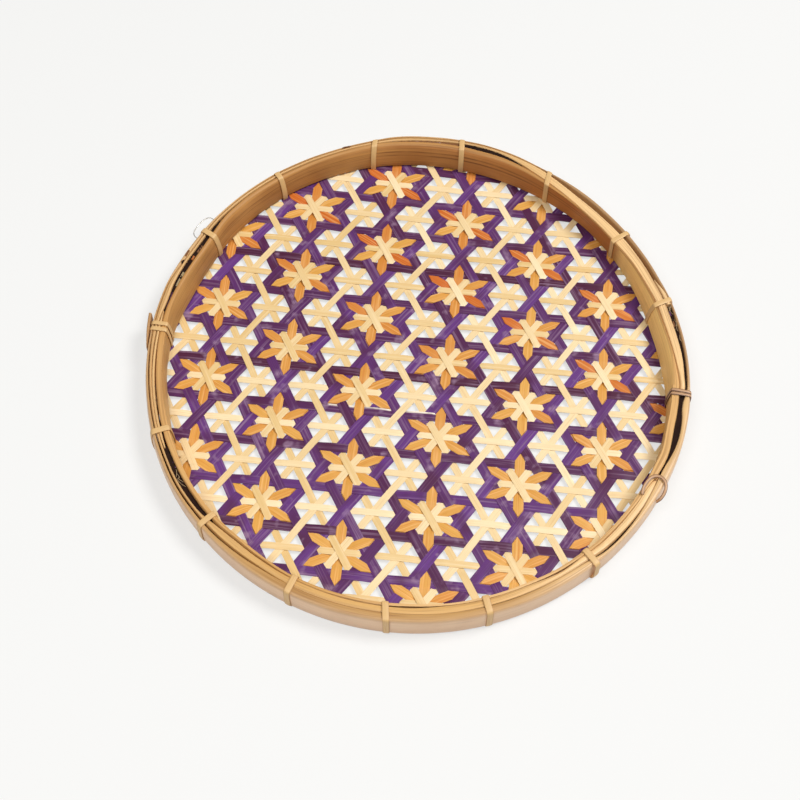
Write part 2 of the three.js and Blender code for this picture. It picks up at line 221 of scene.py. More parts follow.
# Where the inner hoop's face is bright gold: partly the slat's own paler colour, partly painted
# light on the part of the face that the lamps leave in shade
INNER_BRIGHT_LIT = around(
    (-60, 0.6), (-12, 0.9), (0, 1), (31, 1), (33.6, 0), (140, 0), (155, 0.1), (170, 0.15), (180, 0.3),
    (200, 0.6),
)
# Where it is red-brown: partly the slat's own colour, partly painted shade with warm bounce light on the
# face that turns from the lamps
INNER_BROWN_SHADE = around(
    (31.5, 0), (34.5, 1), (50, 1), (64, 0.7), (84, 0.35), (110, 0.1), (140, 0.1), (150, 0),
)
# Where two dark lines run along it: painted shade along its rounded shoulder, at these heights and of
# this width
INNER_SHADE_LINES = around((40, 0), (50, 1), (95, 1), (104, 0.4), (118, 0.4), (126, 0.7), (140, 0.5), (144, 0))
SHADE_LINE_HEIGHTS = (13.5, 11.4)
SHADE_LINE_WIDTH = 0.6

# Millimetres of height over which the mark of the inner hoop's face goes from 0.5 to 1.5
ZONE_SPAN = 28.0

# Where the hoops' seam is, how high the inner hoop's foot is and how far ties lie off the hoops
RING_START = -96.1
INNER_FOOT_HEIGHT = 3.7
TIE_CLEARANCE = 0.32

# Short slats beside the lining: name, node, from and to in degrees, (shares, depths of its middle),
# (shares, walls), (shares, rises over the rim's top), height of its foot, how pale, how worn
SHORT_SLATS = (
    (
        "LightSlat", "filler_slat_right", 13.5, 20.6, ((0, 0.5, 1), (3.6, 4.2, 5.7)),
        ((0, 0.5, 1), (2.3, 2.0, 0.25)), ((0, 1), (0.4, 0.1)), 4.0, 1.0, 0.0,
    ),
    (
        "LeftSlat", "filler_slat_left", 168.0, 203.0, ((0, 0.5, 1), (5.5, 5.4, 5.0)),
        ((0, 0.1, 0.9, 1), (0.4, 1.3, 1.3, 0.8)), ((0, 1), (0.1, 0.0)), 4.0, 0.5, 0.1,
    ),
    (
        "BluntSlat", "outer_hoop", 169.2, 177.6, ((0, 0.5, 1), (-1.2, -0.2, 0.75)),
        ((0, 0.5, 1), (1.6, 1.4, 0.4)), ((0, 1), (0.5, 0.1)), 12.0, 0.0, 1.0,
    ),
)

# Ties by number: bands of (degrees, share of the width, lean in degrees, stand-off from the hoop)
TIES = {
    1: [(14.3, 0.85, -1.0, 0)],
    2: [(34.3, 0.85, 0, 0)],
    3: [(57.4, 0.85, -1.5, 0)],
    4: [(79.1, 0.9, -0.6, 0)],
    5: [(99.2, 0.9, 1.3, 0)],
    6: [(122.7, 0.9, 0, 0)],
    7: [(145.0, 0.95, 0, 0)],
    8: [(171.4, 0.67, 0, 0), (172.9, 0.67, 0.2, 0)],
    9: [(198.6, 1, 0, 0)],
    10: [(222.3, 1, 0, 0)],
    11: [(244.7, 1, 0, 0)],
    12: [(263.9, 1, -0.6, 0)],
    13: [(283.6, 1, 0, 0)],
    14: [(306.5, 1, 0, 1.2)],
    16: [(350.45, 0.5, 0, 0), (351.3, 0.5, 0.2, 0)],
}
DARK_TIES = (16,)

# The curled tie: its number, its corners as (degrees, depth, height) and its width
CURLED_NUMBER = 15
CURLED_TIE = (
    (-34.7, -1.4, 13.8), (-34.3, -2.7, 16.0), (-33.0, -3.2, 17.7), (-31.6, -2.4, 18.4),
    (-30.6, -0.4, 18.6), (-30.2, 2.4, 18.6), (-30.5, 5.1, 18.5), (-31.4, 6.9, 18.5),
    (-33.0, 7.7, 18.5), (-34.7, 7.5, 18.4), (-35.8, 6.3, 18.4),
)
CURLED_WIDTH = 1.6

# Strip ends in the gaps of the rim: (kind, degrees, depth, wall, width, height)
LOOSE_ENDS = (
    ("Brown", 105.5, 3.3, 0.5, 5.0, 17.9),
    ("Brown", 152.0, 3.0, 1.1, 4.5, 17.8),
    ("Dark", 154.3, 3.3, 1.0, 3.0, 17.6),
    ("Brown", 8.6, 3.9, 0.7, 4.0, 16.9),
    ("Dyed", 11.4, 4.2, 0.6, 3.0, 17.0),
    ("Brown", 149.4, 7.4, 0.9, 5.5, 16.4),
    ("Orange", 152.3, 7.2, 1.0, 3.0, 16.9),
    ("Olive", 158.6, 6.9, 1.3, 11.0, 16.6),
    ("Dyed", 164.6, 6.4, 0.9, 11.0, 16.6),
    ("Dyed", 207.6, 6.3, 0.7, 5.0, 16.2),
)

# Packed ends of strips that fill a gap: (kind, from and to in degrees, edges beside it, height)
# The Dark ends are near black: the shade deep in the narrow gaps is painted into them
PACKED_ENDS = (
    ("Dark", -28.8, -9.4, "outer_back", "inner", 16.5),
    ("Dark", 64.5, 78.8, "lining_back", "inner", 16.9),
    ("Brown", 79.2, 96.0, "lining_back", "inner", 16.6),
    ("Dark", 140.6, 168.5, "lining_back", "inner", 16.4),
    ("Dark", 202.6, 223.0, "lining_back", "inner", 16.2),
    ("Dark", 223.5, 240.0, "outer_back", "lining", 14.5),
    ("Dark", 198.0, 222.0, "outer_back", "lining", 14.5),
    ("Dark", -52.6, -39.0, "outer_back", "lining", 15.8),
    ("Dark", -8.0, 13.0, "outer_back", "lining", 16.3),
    ("Brown", -66.0, -54.6, "lining_back", "inner", 16.4),
)

# Colours of the strip ends that aren't dyed or dark, and how far packed ends stay off the slats.
# Darker edges would start further from the middle than any end reaches, so these ends have none.
STRIP_END_COLOURS = {"Brown": "#7a4e2c", "Orange": "#b4652c", "Olive": "#a08c66"}
FILL_CLEARANCE = 0.08
PAST_EDGE = 500 * MM

# Corners of the wire loop: (degrees, depth), all at the height of its eye
WIRE_LOOP = ((140.4, 1.2), (140.3, -3.4), (141.7, -5.3), (144.6, -5.4), (146.2, -3.6), (146.5, 1.2))
WIRE_LEVEL = 11.8
WIRE_RADIUS = 0.28

# Loose fibres: (from, to in degrees, first or second gap, how many)
FIBRES = ((203, 211, 2, 3), (3, 13, 1, 9), (-23, -13, 1, 4), (184, 200, 2, 5))

# How far the middle of a tie or fibre stands out, and how near two points are that are merged
BAND_CROWN = 0.18
MERGE_DISTANCE = 0.004 * MM

# A strip of the mat: the step between its rows of points, how far its middle stands out and how far
# it wanders to the side, and the gap between two strips that cross
ROW_STEP = 1.2
STRIP_CROWN = 0.06
WANDER = 0.2
LAYER_GAP = 0.05

# About a full turn in radians, within which the waves of strips and slats start at random
FULL_TURN = 6.28

# Where the strips turn up, in millimetres behind the inner hoop's back, and how high they reach
PURPLE_ENDS = (0.35, 13.6)
CREAM_ENDS = (1.15, 13.5)
ORANGE_ENDS = (0.75, 12.5)

# The bend of an end: its first steps up, how far out it leans for each millimetre of them, and the
# length of a row on its UV map
TURN_STEPS = (0.3, 0.9)
TURN_LEAN = 0.35
UV_STEP = 2.2

# How far to each side of a crossing a purple strip keeps its height, alone or with another crossing
# of the same star beside it, and how it dips between those two
LONG_HOLD = 4.2
SHORT_HOLD = 2.9
DIP_HOLD = 2.2
DIP_HEIGHT = -0.5

# Heights of a natural strip in layers, at distances from a star: over the star, under the purple
# strips at its corner, through the next opening and over or under the crossing half way
CREAM_COURSES = {
    "a": (
        (4.2, 0.6), (9.0, 0.7), (11.4, -1.0), (17.0, -1.0), (21.5, 1.0),
        (OPENING + 6.5, 1.0), (39.6, -0.5),
    ),
    "b": (
        (4.0, 2.4), (6.4, 1.3), (9.0, 1.2), (11.4, -1.0), (17.5, -1.0), (25.0, -1.0),
        (OPENING + 4.0, -1.0), (38.6, 1.5),
    ),
    "c": (
        (4.0, 1.5), (6.4, 1.0), (9.0, 1.0), (11.4, -1.0), (17.5, -1.0), (23.5, 0.0),
        (OPENING + 5.0, 0.0), (38.6, 1.5),
    ),
}

# Heights of the orange strips in layers, at distances from a star: under one another and the
# natural strips at its middle, then over the purple strips until the petal ends
ORANGE_CENTRE = {"a": -2.5, "b": -1.5, "c": -0.5}
ORANGE_EDGE = ((9.8, 0.75), (19.3, 0.9), (19.9, -1.5))

# Rows of an orange strip between a star and the middle of its way to the next, and distances with
# how much the rows bend to a V there, so that a petal ends in a point where the strip dives
PETAL_ROWS = (
    0, 2, 4, 6, 8, 9.6, 11, 12.5, 14, 15.5, 17, 18.2, 19.0, 19.3, 19.6, 19.9, 20.5, 22, 23.6, 25.3,
)
PETAL_BEND = ((11, 19, 20.5, 25.3), (0, 1, 1, 0))

# How light the strips of each direction are, from 0 to 1, and the strips that stand out
PURPLE_TONES = {"a": (0.0, 0.5), "b": (0.1, 0.6), "c": (0.3, 0.9)}
PURPLE_STANDOUTS = {
    "a01": 0.8, "a03": 0.7, "a06": 0.0, "a09": 0.0, "b01": 0.9, "b10": 0.1, "c03": 1.1, "c05": 0.9,
    "c11": 1.1,
}

# Purple strips with an undyed edge, from and to in millimetres across the mat
BARE_EDGES = {"a05": (-47.0, 13.0)}

# How deep the orange of each strip is by its row, from 0 to 1, and how much deeper it gets in 100 mm
ORANGE_TONES = {
    "a": {-2: 0.16, -1: 0.0, 0: 0.3, 1: 0.35, 2: 0.22, 3: 0.27},
    "b": {-2: 0.21, -1: 0.04, 0: 0.1, 1: 0.23, 2: 0.11, 3: 0.02, 4: 0.06},
    "c": {-3: 0.74, -2: 0.79, -1: 0.46, 0: 0.26, 1: 0.12, 2: 0.2},
}
ORANGE_SLOPES = {"a": 0.25, "b": 0.0, "c": 0.25}

# The stage: the camera in metres and degrees, the floor, lamps as (name, place, size, setting) and
# how bright the camera sees the surroundings
CAMERA_PLACE = (-0.00856, -0.44312, 0.73812)
CAMERA_TILT = 30
CAMERA_LENS = 70.47
FLOOR_SIZE = 8
LAMPS = (
    ("Key", (1.38, 0.3, 2.36), 1.1, "key_power"),
    ("Fill", (-0.4, -0.55, 1.4), 0.8, "fill_power"),
)
SEEN_STRENGTH = 0.93


def linear(hex_colour):
    """Linear RGB of an sRGB hex colour."""
    parts = [int(hex_colour[i : i + 2], 16) / 255 for i in (1, 3, 5)]
    return tuple(p / 12.92 if p <= 0.04045 else ((p + 0.055) / 1.055) ** 2.4 for p in parts)


def colour(default, name, description):
    """A colour property whose default is written as sRGB hex."""
    return FloatVectorProperty(
        name=name, description=description, subtype="COLOR", size=3, min=0, max=1,
        default=linear(default),
    )


def length(default, name, description):
    """A length property, whose default is in millimetres."""
    return FloatProperty(
        name=name, description=description, subtype="DISTANCE", unit="LENGTH", default=default * MM,
    )


def setting(default, name, description, subtype="NONE"):
    """A property for a light's power or for how strong something shows."""
    return FloatProperty(name=name, description=description, subtype=subtype, default=default)


def seed_setting(default, description):
    """A whole number that random draws start from."""
    return IntProperty(name="Seed", description=description, default=default)


class BASKET_PG_mat(bpy.types.PropertyGroup):
    """Sizes and colours of the mat"""

    strip_thickness: length(0.24, "Strip thickness", "Thickness of each split bamboo strip")
    purple_width: length(5.4, "Purple width", "Width of the purple strips")
    cream_width: length(3.9, "Cream width", "Width of the natural strips")
    orange_width: length(5.3, "Orange width", "Width of the orange strips")
    purple_dark: colour("#4d1c38", "Plum", "Purple strips whose dye is reddest")
    purple_light: colour("#66377f", "Violet", "Purple strips whose dye is bluest")
    purple_rubbed: colour("#a4859f", "Rubbed purple", "Where the purple dye is thin or rubbed")
    purple_bare: colour("#f2e6d2", "Bare edge", "Undyed edge of a purple strip")
    cream: colour("#dfbc7d", "Cream", "Natural strips")
    cream_pale: colour("#f3dcb0", "Pale cream", "The palest natural strips")
    cream_fibre: colour("#cf9a58", "Brown fibres", "Fibres of the natural strips")
    orange: colour("#d9a048", "Orange", "Dye of the orange strips")
    orange_deep: colour("#c66214", "Deep orange", "Orange strips that took more dye")
    # Pale where the dye is thin, and also painted highlights
    orange_pale_sheen: colour("#f4c07a", "Pale orange", "Where the orange dye is thin")
    seed: seed_setting(7, "Start of the mat's small irregularities")


class BASKET_PG_rim(bpy.types.PropertyGroup):
    """Sizes and colours of the rim"""

    golden: colour("#bf9257", "Golden", "Cut top of the outer hoop")
    pale: colour("#f2ca92", "Pale", "Freshly cut bamboo")
    worn: colour("#a5805c", "Worn", "Greyish brown, worn bamboo")
    dark: colour("#8a5a2e", "Dark streaks", "Dark fibres of the hoops")
    skin: colour("#f2cca6", "Skin", "Pinkish skin of the outer hoop")
    # Painted shade low on the outer face, where it tucks in
    skin_low_shade: colour("#e3b891", "Low skin", "Greyer skin low on the outer hoop")
    lining: colour("#d6a660", "Lining", "Slats between the hoops")
    lining_worn: colour("#b98d5c", "Worn lining", "Worn slats between the hoops")
    inner_top: colour("#cb9650", "Inner hoop's top", "Cut top of the inner hoop")
    inner_face: colour("#bc884e", "Inner hoop", "Inside face of the inner hoop")
    inner_face_dark: colour("#a3703c", "Dark inner hoop", "Darker parts of the inner hoop's face")
    # Partly painted light, on the part of the inner hoop's face that the lamps leave in shade
    inner_bright_lit: colour("#ffd183", "Bright inner hoop", "Where the inner hoop's face is bright gold")
    # Partly painted shade, with warm bounce light, on the inner hoop's face
    inner_brown_shade: colour("#bd7438", "Brown inner hoop", "Where the inner hoop's face is red-brown")
    # Also the colour of the two lines of painted shade along the inner hoop's shoulder
    inner_streak_and_shade_line: colour("#6f4523", "Inner streaks", "Long dark streaks on the inner hoop's face")
    tie: colour("#dcb47a", "Ties", "Split rattan ties")
    # Partly the ties' own edge colour, partly painted shadow lines where they lie on the hoop
    tie_edge_shade: colour("#b98a52", "Tie edges", "Edges of the split rattan ties")
    dark_tie: colour("#c99d74", "Dark ties", "The few rattan ties that are stained")
    dark_tie_edge: colour("#553429", "Dark tie edges", "Edges of the stained ties")
    tie_width: length(3.3, "Tie width", "Width of the widest rattan ties")
    tie_thickness: length(0.45, "Tie thickness", "Thickness of the rattan ties")
    seed: seed_setting(11, "Start of the rim's small irregularities")


class BASKET_PG_stage(bpy.types.PropertyGroup):
    """Floor and light"""

    floor: colour("#e6e5e2", "Floor", "Plain floor under the basket")
    floor_glow: setting(0.62, "Floor glow", "How far the camera sees the floor as plain white")
    key_power: setting(58.0, "Key light", "Power of the large light", "POWER")
    fill_power: setting(10.5, "Fill light", "Power of the smaller light on the left", "POWER")
    world_strength: setting(0.18, "Surroundings", "Strength of the white surroundings")


# Small helpers for runs of points


def distances(run):
    """How far each point of a run is from its start, along it."""
    return np.concatenate([[0], np.cumsum(np.linalg.norm(np.diff(run, axis=0), axis=1))])


def unit(vectors):
    """The same directions, with a length of one."""
    return vectors / np.linalg.norm(vectors, axis=-1, keepdims=True)


def cut_corners(low, high):
    """Points a quarter of the way in from both ends of every step from low to high."""
    return np.stack([0.75 * low + 0.25 * high, 0.25 * low + 0.75 * high], 1).reshape(-1, low.shape[1])


def rounded_loop(corners, passes=3):
    """Cut the corners of a closed run of points until it is round."""
    for _ in range(passes):
        corners = cut_corners(corners, np.roll(corners, -1, axis=0))
    return corners


def rounded_run(corners, passes=3):
    """Cut the corners of an open run of points, and keep its ends."""
    for _ in range(passes):
        cut = cut_corners(corners[:-1], corners[1:])
        corners = np.concatenate([corners[:1], cut[1:-1], corners[-1:]])
    return corners


# Small helpers for meshes


def only(piece):
    """Select and activate one object, with everything else deselected."""
    bpy.ops.object.select_all(action="DESELECT")
    piece.select_set(True)
    bpy.context.view_layer.objects.active = piece


def mark(piece, **values):
    """Numbers on every vertex, which the piece's material reads."""
    for name, value in values.items():
        layer = piece.data.attributes.new(name, "FLOAT", "POINT")
        value = np.broadcast_to(value, len(piece.data.vertices))
        layer.data.foreach_set("value", value.astype(np.float32))


def sheet(name, points, uv):
    """A grid primitive whose vertices are moved to points[row][column], with a UV map in metres."""
    rows, columns = points.shape[:2]
    bpy.ops.object.select_all(action="DESELECT")
    bpy.ops.mesh.primitive_grid_add(x_subdivisions=columns - 1, y_subdivisions=rows - 1, size=0.01)
    piece = bpy.context.object
    piece.name = piece.data.name = name
    piece.data.vertices.foreach_set("co", (points * MM).reshape(-1).astype(np.float32))
    corners = np.zeros(len(piece.data.loops), np.int32)
    piece.data.loops.foreach_get("vertex_index", corners)
    layer = piece.data.uv_layers.active or piece.data.uv_layers.new()
    layer.data.foreach_set("uv", (uv.reshape(-1, 2)[corners] * MM).reshape(-1).astype(np.float32))
    piece.data.update()
    return piece


def grid_uv(along, across):
    """The UV map of a sheet from a distance for each row and one for each column."""
    return np.stack(np.broadcast_arrays(along[:, None], across), -1)


def close_up(piece, caps=True):
    """Merge a sheet's meeting edges. With caps its ends are filled and its faces point outwards."""
    only(piece)
    bpy.ops.object.mode_set(mode="EDIT")
    bpy.ops.mesh.select_all(action="SELECT")
    bpy.ops.mesh.remove_doubles(threshold=MERGE_DISTANCE)
    if caps:
        bpy.ops.mesh.fill_holes(sides=0)
        bpy.ops.mesh.select_all(action="SELECT")
        bpy.ops.mesh.normals_make_consistent(inside=False)
    bpy.ops.object.mode_set(mode="OBJECT")


def thicken(piece, thickness):
    """Give a sheet its thickness, half to each side."""
    only(piece)
    wall = piece.modifiers.new("Thickness", "SOLIDIFY")
    wall.thickness = thickness
    wall.offset = 0
    bpy.ops.object.modifier_apply(modifier=wall.name)


def smooth(piece, degrees=40):
    """Smooth shading, with creases where faces meet more sharply than this."""
    only(piece)
    bpy.ops.object.shade_smooth_by_angle(angle=math.radians(degrees))


def join(pieces, name):
    """Join several pieces to one."""
    bpy.ops.object.select_all(action="DESELECT")
    for piece in pieces:
        piece.select_set(True)
    bpy.context.view_layer.objects.active = pieces[0]
    if len(pieces) > 1:
        bpy.ops.object.join()
    piece = bpy.context.object
    piece.name = piece.data.name = name
    return piece


def level_places(piece):
    """The x and y of every vertex in millimetres."""
    places = np.zeros(3 * len(piece.data.vertices), np.float32)
    piece.data.vertices.foreach_get("co", places)
    return places[0::3] / MM, places[1::3] / MM


def finish_piece(piece, material, nodes):
    """Give a piece its material, and tell the frame where it belongs and what it replaces."""
    piece.data.materials.clear()
    piece.data.materials.append(material)
    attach(piece, "root")
    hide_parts(*nodes)


# Materials


class Nodes:
    """A node tree, with the one way to add a node and the patterns that the materials share."""

    def __init__(self, tree):
        self.tree = tree

    def put(self, value, socket):
        """Link a socket to the value if that is a socket too, or else set it."""
        if isinstance(value, bpy.types.NodeSocket):
            self.tree.links.new(value, socket)
        elif socket.type == "RGBA":
            socket.default_value = (*value[:3], 1)
        else:
            socket.default_value = value

    def add(self, kind, inputs=None, output=0, **settings):
        """Add a node with these settings, fill its inputs by name or number, and give one output."""
        node = self.tree.nodes.new(kind)
        for name, value in settings.items():
            setattr(node, name, value)
        for name, value in (inputs or {}).items():
            self.put(value, node.inputs[name])
        return node.outputs[output]

    def streaks(self, along, across, detail=2.0):
        """Noise drawn out along the piece, on its UV map: a streak's size along and across, in metres."""
        uv = self.add("ShaderNodeUVMap")
        place = self.add("ShaderNodeMapping", {"Vector": uv, "Scale": (1 / along, 1 / across, 1)})
        inputs = {"Vector": place, "Scale": 1.0, "Detail": detail, "Roughness": 0.6}
        return self.add("ShaderNodeTexNoise", inputs)

    def patches(self, size, detail=2.0):
        """Soft noise in the piece's own space, with patches of this size in metres."""
        place = self.add("ShaderNodeTexCoord", output="Object")
        return self.add("ShaderNodeTexNoise", {"Vector": place, "Scale": 1 / size, "Detail": detail})

    def vary(self, base, other, number, amount, start, end):
        """The base colour, and up to this amount of the other as a number goes from start to end."""
        share = self.add("ShaderNodeMapRange", {0: number, 1: start, 2: end, 3: 0.0, 4: amount})
        return self.add("ShaderNodeMix", {0: share, 6: base, 7: other}, 2, data_type="RGBA")

    def by_mark(self, base, other, name, amount=1.0):
        """The base colour, and more of the other the higher the mark of this name on the piece is."""
        number = self.add("ShaderNodeAttribute", output="Fac", attribute_name=name)
        return self.vary(base, other, number, amount, 0.0, 1.0)

    def fibred(self, base, dark, amount, along=40 * MM, across=0.4 * MM):
        """Fine fibres along the piece, from base towards dark, and their noise.

        Real ones are about 0.2 mm wide, and are drawn up to twice as wide so that they show.
        """
        fibres = self.streaks(along, across)
        return self.vary(base, dark, fibres, amount, 0.5, 0.74), fibres

    def cut_slat(self, golden, pale, worn, dark):
        """Cut bamboo, golden, pale or worn by the piece's marks, and the noise of its fibres."""
        base = self.by_mark(golden, pale, "pale")
        base = self.by_mark(base, worn, "worn")
        base, fibres = self.fibred(base, dark, 0.5, 45 * MM, 0.35 * MM)
        return self.vary(base, dark, self.streaks(90 * MM, 1.1 * MM), 0.55, 0.52, 0.72), fibres


class Paint(Nodes):
    """The nodes of a new material, which lead to its shader."""

    def __init__(self, name):
        self.material = bpy.data.materials.new(name)
        self.material.use_nodes = True
        super().__init__(self.material.node_tree)
        self.shader = self.tree.nodes["Principled BSDF"]

    def plain(self, base, roughness, **inputs):
        """Fill the shader's inputs, in whose names an underscore stands for a space."""
        inputs = {"Base Color": base, "Roughness": roughness, **inputs}
        for name, value in inputs.items():
            self.put(value, self.shader.inputs[name.replace("_", " ")])
        return self.material

    def bamboo(self, base, fibres, roughness, depth=0.05, shine=0.5):
        """Satin bamboo whose fibres stand up a little: depth is in millimetres."""
        low, high = roughness - 0.08, roughness + 0.1
        uneven = self.add("ShaderNodeMapRange", {0: fibres, 1: 0.35, 2: 0.65, 3: low, 4: high})
        bump = self.add("ShaderNodeBump", {"Height": fibres, "Strength": 0.3, "Distance": depth * MM})
        return self.plain(base, uneven, IOR=1.5, Normal=bump, Specular_IOR_Level=shine)


def purple_material(mat):
    """Bamboo dyed deep violet: the dye is thinner along some fibres and where the strips are rubbed."""
    paint = Paint("dyed_purple_bamboo")
    base = paint.by_mark(mat.purple_dark, mat.purple_light, "tone")
    base, fibres = paint.fibred(base, [part * 0.45 for part in mat.purple_dark], 0.6)
    base = paint.vary(base, mat.purple_rubbed, paint.streaks(55 * MM, 1.5 * MM), 0.6, 0.5, 0.75)
    base = paint.vary(base, mat.purple_dark, paint.patches(18 * MM), 0.65, 0.5, 0.68)
    # Scuffs are patches in which the raised fibres are rubbed most
    scuffed = paint.add("ShaderNodeMapRange", {0: fibres, 1: 0.4, 2: 0.56, 3: 0.16, 4: 0.8})
    base = paint.vary(base, mat.purple_rubbed, paint.patches(8 * MM), scuffed, 0.6, 0.74)
    # A bare edge is broken along the strip, and lies on one side of it
    broken = {0: paint.streaks(14 * MM, 8 * MM), 1: 0.4, 2: 0.55, 3: 0.3, 4: 1.0}
    broken = paint.add("ShaderNodeMapRange", broken)
    across = paint.add("ShaderNodeAttribute", output="Fac", attribute_name="across")
    edge = paint.add("ShaderNodeMapRange", {0: across, 1: 0.5, 2: 0.75, 3: 0.0, 4: broken})
    base = paint.by_mark(base, mat.purple_bare, "bare", edge)
    return paint.bamboo(base, fibres, 0.42, shine=0.35)


def cream_material(mat):
    """Undyed split bamboo, a little browner along some fibres."""
    paint = Paint("natural_bamboo")
    base = paint.by_mark(mat.cream, mat.cream_pale, "tone")
    base, fibres = paint.fibred(base, mat.cream_fibre, 0.5)
    base = paint.vary(base, mat.cream_pale, paint.streaks(70 * MM, 1.5 * MM), 0.5, 0.5, 0.72)
    return paint.bamboo(base, fibres, 0.5)


def orange_material(mat):
    """Bamboo dyed orange, deeper on some strips and along some fibres."""
    paint = Paint("dyed_orange_bamboo")
    base = paint.by_mark(mat.orange, mat.orange_deep, "tone")
    base, fibres = paint.fibred(base, mat.orange_deep, 0.75)
    # Pale streaks: thin dye, with painted highlights along them
    base = paint.vary(base, mat.orange_pale_sheen, paint.streaks(50 * MM, 1.4 * MM), 0.6, 0.5, 0.72)
    return paint.bamboo(base, fibres, 0.48)


def outer_hoop_material(rim):
    """Bamboo hoop: pinkish skin on the outer face, greyer low down, where shade is painted on the
    part that tucks in, and a cut golden top.
    """
    paint = Paint("outer_hoop_bamboo")
    zone = paint.add("ShaderNodeAttribute", output="Fac", attribute_name="zone")
    top, fibres = paint.cut_slat(rim.golden, rim.pale, rim.worn, rim.dark)
    # Towards the foot the skin greys: painted shade on the lower part of the face
    skin = paint.vary(rim.skin_low_shade, rim.skin, zone, 1.0, 0.08, 0.45)
    skin = paint.vary(skin, rim.skin_low_shade, paint.patches(14 * MM, 4.0), 0.45, 0.45, 0.7)
    skin = paint.vary(skin, rim.worn, paint.streaks(26 * MM, 0.3 * MM), 0.35, 0.5, 0.75)
    return paint.bamboo(paint.vary(skin, top, zone, 1.0, 0.62, 0.84), fibres, 0.42)


def lining_material(rim):
    """Cut bamboo slats between the hoops, darker down their sides: painted shade, where the sides face
    into the narrow gaps between the hoops.
    """
    paint = Paint("lining_bamboo")
    zone = paint.add("ShaderNodeAttribute", output="Fac", attribute_name="zone")
    top, fibres = paint.cut_slat(rim.lining, rim.pale, rim.lining_worn, rim.dark)
    # The darker sides are painted shade of the gaps that they face
    side = [(low + high) / 2 for low, high in zip(rim.dark, rim.lining_worn)]
    return paint.bamboo(paint.vary(side, top, zone, 1.0, 0.3, 0.8), fibres, 0.48)


def inner_zone(drop):
    """The mark of a point on the inner hoop's face, this far below the rim's top."""
    return 0.5 + drop / ZONE_SPAN


def shade_line_along(paint, zone, at, width):
    """A soft line of painted shade along a slat where its zone is about this, which wavers and fades
    in places.
    """
    wave = {0: paint.streaks(60 * MM, 30 * MM), 1: 0.3, 2: 0.7, 3: -width - at, 4: width - at}
    wave = paint.add("ShaderNodeMapRange", wave)
    off = paint.add("ShaderNodeMath", {0: zone, 1: wave}, operation="ADD")
    off = paint.add("ShaderNodeMath", {0: off}, operation="ABSOLUTE")
    strength = {0: paint.streaks(22 * MM, 4 * MM), 1: 0.4, 2: 0.6, 3: 0.45, 4: 0.95}
    strength = paint.add("ShaderNodeMapRange", strength)
    return paint.add("ShaderNodeMapRange", {0: off, 1: 0.0, 2: width, 3: strength, 4: 0.0})


def inner_hoop_material(rim):
    """Bamboo hoop with a varnished golden brown face, long dark streaks and a paler cut top.

    Over its own colours, the face has painted light where it is bright gold, and painted shade where
    it is red-brown and along two dark lines.
    """
    paint = Paint("inner_hoop_bamboo")
    zone = paint.add("ShaderNodeAttribute", output="Fac", attribute_name="zone")
    top, _ = paint.cut_slat(rim.inner_top, rim.pale, rim.inner_face, rim.dark)
    streak = paint.streaks(70 * MM, 0.5 * MM, 3.0)
    face = paint.vary(rim.inner_face, rim.inner_face_dark, paint.patches(30 * MM, 3.0), 1.0, 0.35, 0.68)
    face = paint.vary(face, rim.inner_streak_and_shade_line, streak, 0.75, 0.52, 0.7)
    face = paint.vary(face, rim.inner_top, paint.streaks(110 * MM, 1.3 * MM), 0.5, 0.54, 0.7)
    # The bright part, partly painted light, and the brown part, partly painted shade, let the dark
    # streaks through
    bright = paint.add("ShaderNodeMapRange", {0: streak, 1: 0.5, 2: 0.7, 3: 1.0, 4: 0.6})
    face = paint.by_mark(face, rim.inner_bright_lit, "bright", bright)
    brown = paint.add("ShaderNodeMapRange", {0: streak, 1: 0.5, 2: 0.7, 3: 0.9, 4: 0.5})
    face = paint.by_mark(face, rim.inner_brown_shade, "brown", brown)
    # Two soft lines of painted shade along the shoulder
    for height in SHADE_LINE_HEIGHTS:
        line = shade_line_along(paint, zone, inner_zone(RIM_TOP - height), SHADE_LINE_WIDTH / ZONE_SPAN)
        face = paint.by_mark(face, rim.inner_streak_and_shade_line, "lined", line)
    return paint.bamboo(paint.vary(top, face, zone, 1.0, 0.42, 0.53), streak, 0.5, 0.12, 0.3)


def rattan_material(name, middle, edge, start):
    """Split rattan: the middle of the band in one colour and its edges, from start on, in another."""
    paint = Paint(name)
    uv = paint.add("ShaderNodeUVMap")
    across = paint.add("ShaderNodeSeparateXYZ", {"Vector": uv}, 1)
    across = paint.add("ShaderNodeMath", {0: across}, operation="ABSOLUTE")
    base = paint.vary(middle, edge, across, 1.0, start, start + 0.6 * MM)
    base, fibres = paint.fibred(base, edge, 0.5, 12 * MM, 0.25 * MM)
    return paint.bamboo(base, fibres, 0.45)


def speckled_material(name, size, low, high, roughness, shine=0.5):
    """Dull, torn ends and fibres, which go from one colour to another in small patches."""
    paint = Paint(name)
    inputs = {0: paint.patches(size), 6: linear(low), 7: linear(high)}
    base = paint.add("ShaderNodeMix", inputs, 2, data_type="RGBA")
    return paint.plain(base, roughness, Specular_IOR_Level=shine)


def wire_material():
    """Thin galvanised wire, dulled in spots."""
    paint = Paint("galvanised_wire")
    dull = paint.add("ShaderNodeMapRange", {0: paint.patches(2 * MM), 1: 0.4, 2: 0.6, 3: 0.35, 4: 0.6})
    return paint.plain(linear("#d6d2ca"), dull, Metallic=1.0)


